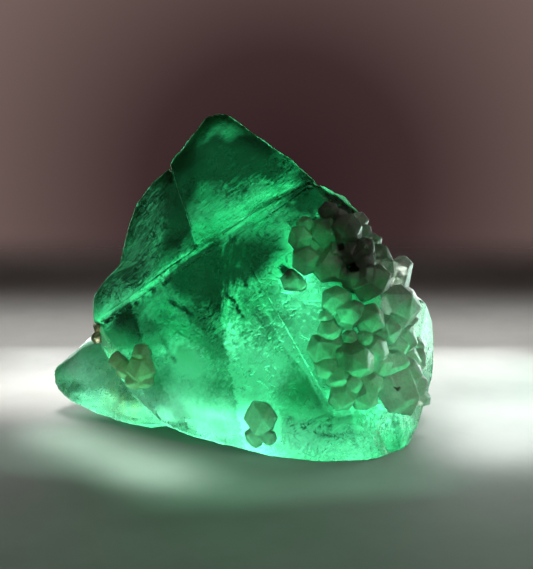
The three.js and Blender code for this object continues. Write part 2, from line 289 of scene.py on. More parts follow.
def pebbles(points: np.ndarray, size: float, seed: int) -> np.ndarray:
    """Distance to the nearest of the scattered seed points, of which each cell has one.

    Args:
        points: Points, one a row.
        size: Width of a cell.
        seed: Another seed gives other seed points.

    Returns:
        The distances, in cell widths.
    """
    place = points / size
    cell = np.floor(place).astype(np.int64)
    nearest = np.full(len(points), np.inf)
    for step in map(np.array, product((-1, 0, 1), repeat=3)):
        near = cell + step
        jitter = np.stack([scatter(near, seed + k) for k in range(3)], axis=1)
        nearest = np.minimum(nearest, np.linalg.norm(near + jitter - place, axis=1))
    return nearest


def terraces(height: np.ndarray, rise: float, edge: float) -> np.ndarray:
    """Turns a slope into flat steps with short, steep edges.

    Args:
        height: The slope.
        rise: Height of one step.
        edge: Share of a step taken by its steep part.

    Returns:
        The stepped height at each point.
    """
    level = height / rise
    whole = np.floor(level)
    return rise * (whole + smooth(level - whole, 1.0 - edge, 1.0))


# ---- Meshes -----------------------------------------------------------------------------


def new_object(name: str, data: bpy.types.ID) -> bpy.types.Object:
    """An object that shows a mesh, lamp or camera, linked to the scene."""
    made = bpy.data.objects.new(name, data)
    bpy.context.scene.collection.objects.link(made)
    return made


@dataclass
class Skin:
    """A closed triangle mesh in millimetres, with values stored on its corners.

    Attributes:
        points: Corner points, one a row.
        faces: Three corner numbers a row.
        marks: Values from 0 to 1, one for each corner.
    """

    points: np.ndarray
    faces: np.ndarray
    marks: dict[Mark, np.ndarray] = field(default_factory=dict)

    @classmethod
    def of_node(cls, name: str) -> "Skin":
        """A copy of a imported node's mesh with its loose triangles joined at their corners.

        Args:
            name: Name of the node.

        Returns:
            The joined copy.
        """
        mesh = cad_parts[name].data
        mesh.calc_loop_triangles()
        flat = np.empty(len(mesh.vertices) * 3)
        mesh.vertices.foreach_get("co", flat)
        corners = np.empty(len(mesh.loop_triangles) * 3, np.int32)
        mesh.loop_triangles.foreach_get("vertices", corners)
        loose = flat.reshape(-1, 3) / MM
        keys = np.round(loose * JOIN_STEPS_PER_MM).astype(np.int64)
        _, first, joined = np.unique(keys, axis=0, return_index=True, return_inverse=True)
        faces = joined.reshape(-1)[corners].reshape(-1, 3)
        sound = (faces[:, 0] != faces[:, 1]) & (faces[:, 1] != faces[:, 2])
        sound &= faces[:, 2] != faces[:, 0]
        return cls(loose[first], faces[sound])

    def edges(self) -> tuple[np.ndarray, np.ndarray]:
        """Each edge once, and for each face the numbers of its three edges.

        Returns:
            Pairs of corners, and edge numbers (corner 0 to 1, 1 to 2, 2 to 0) by face.
        """
        ends = np.concatenate([self.faces[:, [k, (k + 1) % 3]] for k in range(3)])
        count = len(self.points)
        keys = ends.min(axis=1) * count + ends.max(axis=1)
        keys, number = np.unique(keys, return_inverse=True)
        return np.stack(divmod(keys, count), axis=1), number.reshape(3, -1).T

    def refine(self, longest: Callable[[np.ndarray], np.ndarray], rounds: int = 9) -> None:
        """Splits edges in half until none is longer than allowed where it lies.

        A face with one, two or three split edges becomes two, three or four faces, so that
        neighbours still meet corner to corner.

        Args:
            longest: Gives the longest allowed edge at each of a list of points.
            rounds: Most rounds of halving.
        """
        for _ in range(rounds):
            pairs, number = self.edges()
            a, b = self.points[pairs[:, 0]], self.points[pairs[:, 1]]
            middle = (a + b) / 2.0
            split = np.linalg.norm(a - b, axis=1) > longest(middle)
            if not split.any():
                return
            added = np.full(len(pairs), -1)
            added[split] = len(self.points) + np.arange(split.sum())
            self.points = np.vstack([self.points, middle[split]])
            self.faces = self.split_faces(added[number])

    def split_faces(self, mids: np.ndarray) -> np.ndarray:
        """New faces for the old ones, given each edge's new middle corner or -1.

        Args:
            mids: Middle corners of the edges 0-1, 1-2 and 2-0 of each face.

        Returns:
            The new faces.
        """
        faces, count = self.faces, (mids >= 0).sum(1)
        made = [faces[count == 0]]
        for turn in range(3):
            v = np.roll(faces, -turn, axis=1)
            m = np.roll(mids, -turn, axis=1)
            one = (count == 1) & (m[:, 0] >= 0)
            a, b, c, p = v[one, 0], v[one, 1], v[one, 2], m[one, 0]
            made += [np.stack([a, p, c], 1), np.stack([p, b, c], 1)]
            two = (count == 2) & (m[:, 2] < 0)
            a, b, c, p, q = v[two, 0], v[two, 1], v[two, 2], m[two, 0], m[two, 1]
            made += [np.stack([p, b, q], 1), np.stack([a, p, q], 1), np.stack([a, q, c], 1)]
        full = count == 3
        a, b, c = faces[full].T
        p, q, r = mids[full].T
        made += [np.stack(t, 1) for t in ((a, p, r), (p, b, q), (r, q, c), (p, q, r))]
        return np.concatenate(made)

    def face_normals(self) -> np.ndarray:
        """Outward normal of each face, as long as twice the face's area."""
        a, b, c = (self.points[self.faces[:, k]] for k in range(3))
        return np.cross(b - a, c - a)

    def spread(self, values: np.ndarray) -> np.ndarray:
        """Sums over each corner's faces the values that the faces hold.

        Args:
            values: One row for each face.

        Returns:
            The sums, one row for each corner.
        """
        total = np.zeros((len(self.points), values.shape[1]))
        for k in range(3):
            for axis in range(values.shape[1]):
                total[:, axis] += np.bincount(
                    self.faces[:, k], values[:, axis], minlength=len(self.points)
                )
        return total

    def normals(self) -> np.ndarray:
        """Outward unit normal at each corner, weighted by the area of its faces."""
        total = self.spread(self.face_normals())
        return total / np.maximum(np.linalg.norm(total, axis=1, keepdims=True), TINY)

    def sharpness(self) -> np.ndarray:
        """How far the faces round each corner turn from each other: 0 on a flat face.

        Returns:
            One minus the length of the summed normals over the sum of their lengths.
        """
        flat = self.face_normals()
        area = np.linalg.norm(flat, axis=1, keepdims=True)
        total = np.linalg.norm(self.spread(flat), axis=1)
        return 1.0 - total / np.maximum(self.spread(area)[:, 0], TINY)

    def near_mean(self, values: np.ndarray) -> np.ndarray:
        """Mean of a value over each corner's neighbours.

        Args:
            values: One row for each corner.

        Returns:
            The means, one row for each corner.
        """
        pairs, _ = self.edges()
        ends = np.concatenate([pairs, pairs[:, ::-1]])
        count = np.bincount(ends[:, 0], minlength=len(self.points)).astype(float)
        columns = [
            np.bincount(ends[:, 0], values[ends[:, 1], k], minlength=len(self.points)) / count
            for k in range(values.shape[1])
        ]
        return np.stack(columns, axis=1)

    def bulge(self) -> np.ndarray:
        """How far each corner stands out from the mean of its neighbours, in millimetres.

        Returns:
            The height along the corner's normal: above zero on edges, below zero in seams.
        """
        away = self.points - self.near_mean(self.points)
        return (away * self.normals()).sum(1)

    def relax(self, share: np.ndarray) -> None:
        """Moves each corner its share of the way to the mean of its neighbours."""
        self.points = self.points + share[:, None] * (self.near_mean(self.points) - self.points)

    def wear(self, strength: float, rounds: int = 3, sharp: Span = (0.002, 0.03)) -> None:
        """Rounds the sharp edges a little by drawing them towards their neighbours.

        Args:
            strength: Share of the way that a sharp corner moves in one round.
            rounds: How many rounds.
            sharp: Sharpness at which a corner starts to move, and moves by the full share.
        """
        for _ in range(rounds):
            self.relax(smooth(self.sharpness(), *sharp) * strength)

    def push(self, heights: np.ndarray) -> None:
        """Moves each corner outwards along its normal by its height."""
        self.points = self.points + self.normals() * heights[:, None]

    def set_mark(self, mark: Mark, values: np.ndarray) -> None:
        """Stores a value for each corner that a finish can read, held between 0 and 1."""
        self.marks[mark] = np.clip(values, 0.0, 1.0)

    def to_object(self, name: str, crease: float) -> bpy.types.Object:
        """Writes the skin out as a Blender object at the origin, in metres.

        Args:
            name: Name of the object.
            crease: Angle in degrees past which an edge is shaded as sharp.

        Returns:
            The object, linked to the scene.
        """
        mesh = bpy.data.meshes.new(name)
        mesh.vertices.add(len(self.points))
        mesh.vertices.foreach_set("co", (self.points * MM).ravel())
        mesh.loops.add(len(self.faces) * 3)
        mesh.loops.foreach_set("vertex_index", self.faces.ravel())
        mesh.polygons.add(len(self.faces))
        mesh.polygons.foreach_set("loop_start", np.arange(0, len(self.faces) * 3, 3))
        mesh.polygons.foreach_set("loop_total", np.full(len(self.faces), 3))
        mesh.update(calc_edges=True)
        mesh.validate()
        for mark, values in self.marks.items():
            layer = mesh.attributes.new(mark.value, "FLOAT", "POINT")
            layer.data.foreach_set("value", values.astype(np.float32))
        mesh.shade_smooth()
        mesh.set_sharp_from_angle(angle=math.radians(crease))
        return new_object(name, mesh)


# ---- Finishes ---------------------------------------------------------------------------


class Wiring:
    """Adds shader nodes to a tree and joins them in short lines of code."""

    def __init__(self, tree: bpy.types.NodeTree) -> None:
        """Keeps the tree that the nodes go into."""
        self.tree = tree

    def feed(self, socket: bpy.types.NodeSocket, value: Feed) -> None:
        """Links a socket to another one, or sets it to a plain value.

        Args:
            socket: The input.
            value: The socket to link from, or the value.
        """
        if isinstance(value, bpy.types.NodeSocket):
            self.tree.links.new(value, socket)
        else:
            socket.default_value = value

    def add(
        self, kind: str, inputs: dict[str | int, Feed] | None = None, **settings: object
    ) -> bpy.types.Node:
        """Adds a node.

        Args:
            kind: Blender's name for the kind of node.
            inputs: Socket name or number to a plain value or a socket to link from.
            settings: The node's own settings.

        Returns:
            The node.
        """
        node = self.tree.nodes.new(kind)
        for key, value in settings.items():
            setattr(node, key, value)
        for key, value in (inputs or {}).items():
            self.feed(node.inputs[key], value)
        return node

    def reckon(self, operation: str, *parts: Feed) -> bpy.types.NodeSocket:
        """The result of a Math node on one to three values or sockets."""
        return self.add("ShaderNodeMath", dict(enumerate(parts)), operation=operation).outputs[0]

    def plus(self, first: Feed, second: Feed) -> bpy.types.NodeSocket:
        """The sum of two values."""
        return self.reckon("ADD", first, second)

    def minus(self, first: Feed, second: Feed) -> bpy.types.NodeSocket:
        """The first value less the second."""
        return self.reckon("SUBTRACT", first, second)

    def times(self, first: Feed, *others: Feed) -> bpy.types.NodeSocket:
        """The product of two or more values."""
        return reduce(lambda made, other: self.reckon("MULTIPLY", made, other), others, first)

    def times_plus(self, value: Feed, factor: Feed, added: Feed) -> bpy.types.NodeSocket:
        """A value times a factor, plus another value."""
        return self.reckon("MULTIPLY_ADD", value, factor, added)

    def between(self, value: Feed, low: float, high: float) -> bpy.types.NodeSocket:
        """A soft step from 0 at low to 1 at high; it falls where high is below low.

        Args:
            value: The value that climbs the step.
            low: Where the step starts.
            high: Where the step ends.

        Returns:
            The height of the step, from 0 to 1.
        """
        inputs = {"Value": value, "From Min": low, "From Max": high}
        node = self.add("ShaderNodeMapRange", inputs, interpolation_type="SMOOTHSTEP")
        return node.outputs["Result"]

    def mix(
        self, share: Feed, first: Feed, second: Feed, blend: str = "MIX"
    ) -> bpy.types.NodeSocket:
        """Blends two colours.

        Args:
            share: Share of the second colour.
            first: The first colour.
            second: The second colour.
            blend: Blender's name for the way of blending.

        Returns:
            The blended colour.
        """
        inputs = {0: share, 6: first, 7: second}
        return self.add("ShaderNodeMix", inputs, data_type="RGBA", blend_type=blend).outputs[2]

    def speckle(
        self, place: bpy.types.NodeSocket, size: float, detail: float = 3.0, bend: float = 0.0
    ) -> bpy.types.NodeSocket:
        """Cloudy noise with patches of a given size.

        Args:
            place: Where on the surface it is drawn.
            size: Size of the patches, in millimetres.
            detail: How many finer layers it has.
            bend: How far its patches are bent.

        Returns:
            The noise, from 0 to 1 with its mean near the middle.
        """
        inputs = {"Vector": place, "Scale": 1.0 / (size * MM), "Detail": detail, "Distortion": bend}
        return self.add("ShaderNodeTexNoise", inputs).outputs["Fac"]

    def swing(self, value: Feed) -> bpy.types.NodeSocket:
        """A noise from 0 to 1 turned into one from -1 to 1 about its mean."""
        return self.times_plus(value, 2.0, -1.0)

    def stretched(
        self, place: bpy.types.NodeSocket, turn: Point, length: float
    ) -> bpy.types.NodeSocket:
        """The place, with its patterns drawn out along a turned X axis.

        Args:
            place: Where on the surface it is.
            turn: Turn of the axis about X, Y and Z, in degrees.
            length: How many times longer than wide the patterns are.

        Returns:
            The stretched place.
        """
        angles = tuple(math.radians(part) for part in turn)
        inputs = {"Vector": place, "Rotation": angles, "Scale": (length, 1.0, 1.0)}
        return self.add("ShaderNodeMapping", inputs, vector_type="TEXTURE").outputs[0]

    def read(self, *marks: Mark) -> list[bpy.types.NodeSocket]:
        """The values that a skin stores on its corners as each of some marks."""
        nodes = (self.add("ShaderNodeAttribute", attribute_name=mark.value) for mark in marks)
        return [node.outputs["Fac"] for node in nodes]


def colour(red: float, green: float, blue: float) -> Colour:
    """An opaque colour."""
    return (red, green, blue, 1.0)


def new_group(
    name: str, inputs: Iterable[tuple[str, str, Feed]], outputs: Iterable[tuple[str, str]]
) -> bpy.types.NodeTree:
    """An empty shader node group with named inputs and outputs.

    Args:
        name: Name of the group.
        inputs: Name, socket kind and default value of each input.
        outputs: Name and socket kind of each output.

    Returns:
        The group.
    """
    group = bpy.data.node_groups.new(name, "ShaderNodeTree")
    for label, kind, value in inputs:
        socket = group.interface.new_socket(label, in_out="INPUT", socket_type=kind)
        socket.default_value = value
    for label, kind in outputs:
        group.interface.new_socket(label, in_out="OUTPUT", socket_type=kind)
    return group


def cleavage_pattern() -> bpy.types.NodeTree:
    """The group that gives fluorite its clouds, feathery cracks and fine relief.

    The tone mark, stirred by clouds, fibres and feathers, chooses between deep, middle and
    bright green. Hairlines are the places where a noise is near its mean. The pale mark
    takes the green towards a milky colour of the same depth, the stain mark towards rust,
    and the relief is fine waves with the hairlines cut in. The colours are blended as the
    share of light that passes one face, so the blend is squared at the end.

    Returns:
        The group.
    """
    group = new_group(
        "cleavage_pattern",
        [("Deep", COLOUR, colour(0, 0.1, 0.03)), ("Middle", COLOUR, colour(0.02, 0.4, 0.15)),
         ("Bright", COLOUR, colour(0.15, 0.85, 0.4)), ("Milk", COLOUR, colour(0.6, 0.9, 0.75)),
         ("Rust", COLOUR, colour(0.35, 0.3, 0.12)), ("Clouds", FLOAT, 0.5),
         ("Feathers", FLOAT, 1.0), ("Hairs", FLOAT, 0.5), ("Polish", FLOAT, 0.12),
         ("Frost", FLOAT, 0.45)],
        [("Color", COLOUR), ("Roughness", FLOAT), ("Height", FLOAT)],
    )
    wire = Wiring(group)
    inside = wire.add("NodeGroupInput").outputs
    place = wire.add("ShaderNodeTexCoord").outputs["Object"]
    tone, pale, stain, frost, feather, fibre, hair = wire.read(
        Mark.TONE, Mark.PALE, Mark.STAIN, Mark.FROST, Mark.FEATHER, Mark.FIBRE, Mark.HAIR
    )
    # Clouds, slanting strokes and upright threads stir the tone.
    broad = wire.speckle(place, 5.0, 4.0, 0.6)
    fine = wire.speckle(place, 1.1, 5.0, 1.2)
    slanted = wire.stretched(place, (0.0, -38.0, 12.0), 5.0)
    upright = wire.stretched(place, (0.0, -84.0, 8.0), 7.0)
    strokes = wire.swing(wire.speckle(slanted, 0.42, 4.0, 1.2))
    threads = wire.swing(wire.speckle(upright, 0.6, 4.0, 0.5))
    depth = wire.times(inside["Clouds"], wire.between(tone, -0.25, 0.7))
    cloud = wire.times(wire.plus(wire.swing(broad), wire.swing(fine)), depth)
    ruffled = wire.times(strokes, wire.times(feather, inside["Feathers"]))
    combed = wire.times(threads, wire.times(fibre, inside["Feathers"]))
    stirred = wire.plus(wire.plus(tone, cloud), wire.plus(ruffled, combed))
    # Hairlines, broken here and there, darken it.
    wander = wire.swing(wire.speckle(place, 2.8, 3.0, 2.2))
    thin = wire.minus(1.0, wire.between(wire.reckon("ABSOLUTE", wander), 0.02, 0.12))
    broken = wire.between(wire.speckle(place, 2.0, 2.0), 0.46, 0.62)
    line = wire.times(thin, broken, hair)
    drawn = wire.minus(stirred, wire.times(line, inside["Hairs"]))
    dark = wire.mix(wire.between(drawn, 0.0, 0.5), inside["Deep"], inside["Middle"])
    green = wire.mix(wire.between(drawn, 0.45, 1.0), dark, inside["Bright"])
    # Milky and rusty places, as deep as the green under them.
    level = wire.add("ShaderNodeSeparateColor", {0: green}).outputs["Green"]
    grey = wire.add("ShaderNodeCombineColor", {0: level, 1: level, 2: level}).outputs[0]
    milky = wire.mix(pale, green, wire.mix(1.0, grey, inside["Milk"], "MULTIPLY"))
    flecks = wire.times(stain, wire.between(fine, 0.35, 0.6))
    rusty = wire.mix(flecks, milky, inside["Rust"])
    squared = wire.add("ShaderNodeGamma", {"Color": rusty, "Gamma": 2.0}).outputs[0]
    # Gloss and fine relief.
    glossy = wire.times_plus(wire.between(fine, 0.35, 0.7), 0.12, inside["Polish"])
    frosted = wire.times_plus(frost, inside["Frost"], glossy)
    grit = wire.speckle(place, 0.35, 3.0)
    relief = wire.times_plus(fine, 0.5, wire.times(grit, 0.25))
    lifted = wire.times_plus(wire.plus(ruffled, combed), 0.8, relief)
    cut = wire.minus(lifted, wire.times(line, 0.8))
    wire.add("NodeGroupOutput", {"Color": squared, "Roughness": frosted, "Height": cut})
    return group


def frosting_pattern() -> bpy.types.NodeTree:
    """The group that gives quartz its frosted skin, smoky clouds and painted edge highlights.

    The smoke mark with clouds blends the clear into the smoky colour, each flat face is a
    little lighter or darker by its facet mark, edges take the edge colour as painted highlight,
    seams a darker one as painted shade, and specks and painted hollow shade go to black.

    Returns:
        The group.
    """
    group = new_group(
        "frosting_pattern",
        [("Clear", COLOUR, colour(0.3, 0.5, 0.36)), ("Smoke", COLOUR, colour(0.08, 0.06, 0.05)),
         ("Edge", COLOUR, colour(0.6, 0.8, 0.66)), ("Seam", COLOUR, colour(0.1, 0.12, 0.08)),
         ("Black", COLOUR, colour(0.006, 0.004, 0.003)), ("Dull", FLOAT, 0.3),
         ("Facets", FLOAT, 0.3)],
        [("Color", COLOUR), ("Roughness", FLOAT), ("Height", FLOAT)],
    )
    wire = Wiring(group)
    inside = wire.add("NodeGroupInput").outputs
    place = wire.add("ShaderNodeTexCoord").outputs["Object"]
    smoke, facet, edge, seam_shade, milk_and_glint, black_specks_and_hollow_shade = wire.read(
        Mark.SMOKE, Mark.FACET, Mark.EDGE_HIGHLIGHT, Mark.SEAM_SHADE, Mark.MILK_AND_GLINT, Mark.BLACK_SPECKS_AND_HOLLOW_SHADE
    )
    cloud = wire.speckle(place, 1.6, 4.0, 0.8)
    grain = wire.speckle(place, 0.5, 4.0, 0.6)
    # Smoke, and milk that also carries one painted glint, then a tone for each face.
    stirred = wire.plus(smoke, wire.times(wire.minus(cloud, 0.5), 0.5))
    body = wire.mix(wire.between(stirred, 0.0, 1.0), inside["Clear"], inside["Smoke"])
    milky = wire.mix(wire.times(milk_and_glint, 0.9), body, inside["Edge"])
    face = wire.times(wire.plus(facet, cloud), wire.times(inside["Facets"], 0.5))
    mottled = wire.times_plus(wire.between(grain, 0.6, 0.3), 0.3, face)
    shaded = wire.mix(mottled, milky, inside["Seam"])
    # Painted highlight on convex edges, painted shade in seams, and black for specks and painted
    # hollow shade.
    rim = wire.times(edge, wire.between(cloud, 0.25, 0.5))
    edged = wire.mix(wire.times(rim, 0.9), shaded, inside["Edge"])
    sunk = wire.mix(wire.times(seam_shade, 0.9), edged, inside["Seam"])
    black = wire.mix(wire.between(black_specks_and_hollow_shade, 0.35, 0.6), sunk, inside["Black"])
    dull = wire.times_plus(wire.between(cloud, 0.3, 0.7), 0.16, inside["Dull"])
    relief = wire.times_plus(cloud, 0.6, wire.times(grain, 0.5))
    wire.add("NodeGroupOutput", {"Color": black, "Roughness": dull, "Height": relief})
    return group


def new_material(name: str) -> tuple[bpy.types.Material, Wiring]:
    """An empty material, and the wiring for its nodes."""
    made = bpy.data.materials.new(name)
    made.use_nodes = True
    made.node_tree.nodes.clear()
    return made, Wiring(made.node_tree)


@dataclass(frozen=True)
class MineralFinish:
    """A see-through mineral: its pattern group's values and its plain glass values.

    Attributes:
        name: Name of the material.
        pattern: Name of the shader node group that draws its surface.
        values: The group's input values.
        ior: Index of refraction.
        clear: Share of light that passes through the surface.
        cloudy: Share of the rest that scatters under the surface.
        scatter_mm: Depth that red, green and blue light scatter to.
        tint: Colour left in light that has passed the tint depth.
        tint_mm: That depth.
        relief_mm: Height of the pattern's fine relief.
    """

    name: str
    pattern: str
    values: dict[str, Feed]
    ior: float
    clear: float
    cloudy: float
    scatter_mm: Point
    tint: Point
    tint_mm: float
    relief_mm: float

    def material(self) -> bpy.types.Material:
        """Builds the material.

        Returns:
            The material.
        """
        made, wire = new_material(self.name)
        pattern = wire.add("ShaderNodeGroup", node_tree=bpy.data.node_groups[self.pattern])
        for label, value in self.values.items():
            wire.feed(pattern.inputs[label], value)
        height = pattern.outputs["Height"]
        bump = wire.add("ShaderNodeBump", {"Distance": self.relief_mm * MM, "Height": height})
        body = wire.add(
            "ShaderNodeBsdfPrincipled",
            {
                "Base Color": pattern.outputs["Color"],
                "Roughness": pattern.outputs["Roughness"],
                "Normal": bump.outputs["Normal"],
                "IOR": self.ior,
                "Transmission Weight": self.clear,
                "Subsurface Weight": self.cloudy,
                "Subsurface Radius": tuple(depth * MM for depth in self.scatter_mm),
                "Subsurface Scale": 1.0,
            },
        )
        # Light falls off as exp(-loss * depth), so the loss is -log(share) / depth.
        loss = [-math.log(share) / (self.tint_mm * MM) for share in self.tint]
        most = max(loss)
        absorb = wire.add(
            "ShaderNodeVolumeAbsorption",
            {"Color": colour(*(1.0 - part / most for part in loss)), "Density": most},
        )
        ends = {"Surface": body.outputs["BSDF"], "Volume": absorb.outputs["Volume"]}
        wire.add("ShaderNodeOutputMaterial", ends)
        return made


FLUORITE = MineralFinish(
    name="green_fluorite",
    pattern="cleavage_pattern",
    values={
        "Deep": colour(0.003, 0.02, 0.01), "Middle": colour(0.05, 0.36, 0.18),
        "Bright": colour(0.38, 1.0, 0.7), "Milk": colour(0.85, 1.0, 0.92),
        "Rust": colour(0.6, 0.54, 0.3), "Clouds": 0.15, "Feathers": 0.9,
        "Hairs": 0.36, "Polish": 0.17, "Frost": 0.35,
    },
    ior=1.434, clear=0.92, cloudy=0.6, scatter_mm=(0.6, 4.0, 1.6),
    tint=(0.62, 0.97, 0.82), tint_mm=20.0, relief_mm=0.12,
)
QUARTZ = MineralFinish(
    name="frosted_quartz",
    pattern="frosting_pattern",
    values={
        "Clear": colour(0.8, 0.88, 0.76), "Smoke": colour(0.2, 0.17, 0.14),
        "Edge": colour(1.0, 1.0, 1.0), "Seam": colour(0.24, 0.28, 0.2), "Dull": 0.3,
        "Facets": 0.4,
    },
    ior=1.544, clear=0.74, cloudy=0.85, scatter_mm=(2.4, 3.0, 2.4),
    tint=(0.9, 0.97, 0.91), tint_mm=5.0, relief_mm=0.11,
)
STAINED = MineralFinish(
    name="stained_quartz",
    pattern="frosting_pattern",
    values={
        "Clear": colour(1.0, 0.98, 0.78), "Smoke": colour(0.3, 0.27, 0.12),
        "Edge": colour(1.0, 1.0, 0.85), "Seam": colour(0.42, 0.38, 0.22), "Dull": 0.34,
        "Facets": 0.35,
    },
    ior=1.544, clear=0.72, cloudy=0.85, scatter_mm=(2.4, 3.0, 2.0),
    tint=(0.85, 0.88, 0.7), tint_mm=4.0, relief_mm=0.11,
)


@dataclass(frozen=True)
class PlainFinish:
    """An even, closed finish with a little cloudiness in colour and gloss.

    Attributes:
        name: Name of the material.
        first: One colour of the clouds.
        second: The other colour.
        roughness: Mean roughness.
        fade_mm: Heights at which it starts to fade out and is gone.
        cloud_mm: Size of the clouds.
        relief_mm: Height of the fine relief.
    """

    name: str
    first: Colour
    second: Colour
    roughness: float
    fade_mm: Span
    cloud_mm: float
    relief_mm: float

    def material(self) -> bpy.types.Material:
        """Builds the material.

        Returns:
            The material.
        """
        made, wire = new_material(self.name)
        place = wire.add("ShaderNodeTexCoord").outputs["Object"]
        cloud = wire.speckle(place, self.cloud_mm, 4.0)
        grain = wire.speckle(place, self.cloud_mm * 0.12, 3.0)
        tone = wire.mix(wire.between(cloud, 0.35, 0.65), self.first, self.second)
        height = wire.add("ShaderNodeSeparateXYZ", {0: place}).outputs["Z"]
        gone, full = (level * MM for level in reversed(self.fade_mm))
        bump = wire.add("ShaderNodeBump", {"Distance": self.relief_mm * MM, "Height": grain})
        dull = wire.times_plus(grain, 0.12, self.roughness - 0.06)
        body = wire.add(
            "ShaderNodeBsdfPrincipled",
            {
                "Base Color": tone, "Roughness": dull, "Normal": bump.outputs["Normal"],
                "Alpha": wire.between(height, gone, full),
            },
        )
        wire.add("ShaderNodeOutputMaterial", {"Surface": body.outputs["BSDF"]})
        return made


PAPER = PlainFinish(
    name="pale_floor", first=colour(0.46, 0.46, 0.44), second=colour(0.5, 0.5, 0.48),
    roughness=0.75, fade_mm=(0.6, 9.0), cloud_mm=14.0, relief_mm=0.02,
)


# ---- The fluorite -----------------------------------------------------------------------


@dataclass(frozen=True)
class Zone:
    """A soft zone along a line, in which one of the marks is raised or lowered.

    Attributes:
        mark: The mark.
        amount: Change at the middle of the zone.
        width: Distance at which it has faded to about a third.
        path: Corners of the line.
    """

    mark: Mark
    amount: float
    width: float
    path: Path

    def at(self, points: np.ndarray) -> np.ndarray:
        """Change of the mark at each point."""
        return self.amount * near_path(points, self.path, self.width)


@dataclass(frozen=True)
class Cleft:
    """A short crack or the edge of a flake, darkened with painted shade.

    Attributes:
        width: Distance at which it has faded to about a third.
        depth: Depth of the cut.
        path: Corners of its line.
    """

    width: float
    depth: float
    path: Path


SOLE_MM = 0.02  # the underside lies below this height
SHOULDER = ((-15.0, 4.0, 36.0), (-16.0, 0.0, 28.0), (-20.6, -1.4, 22.6))
REAR_TOP = ((-29.0, 7.0, 10.5), (-22.0, 5.0, 14.0))


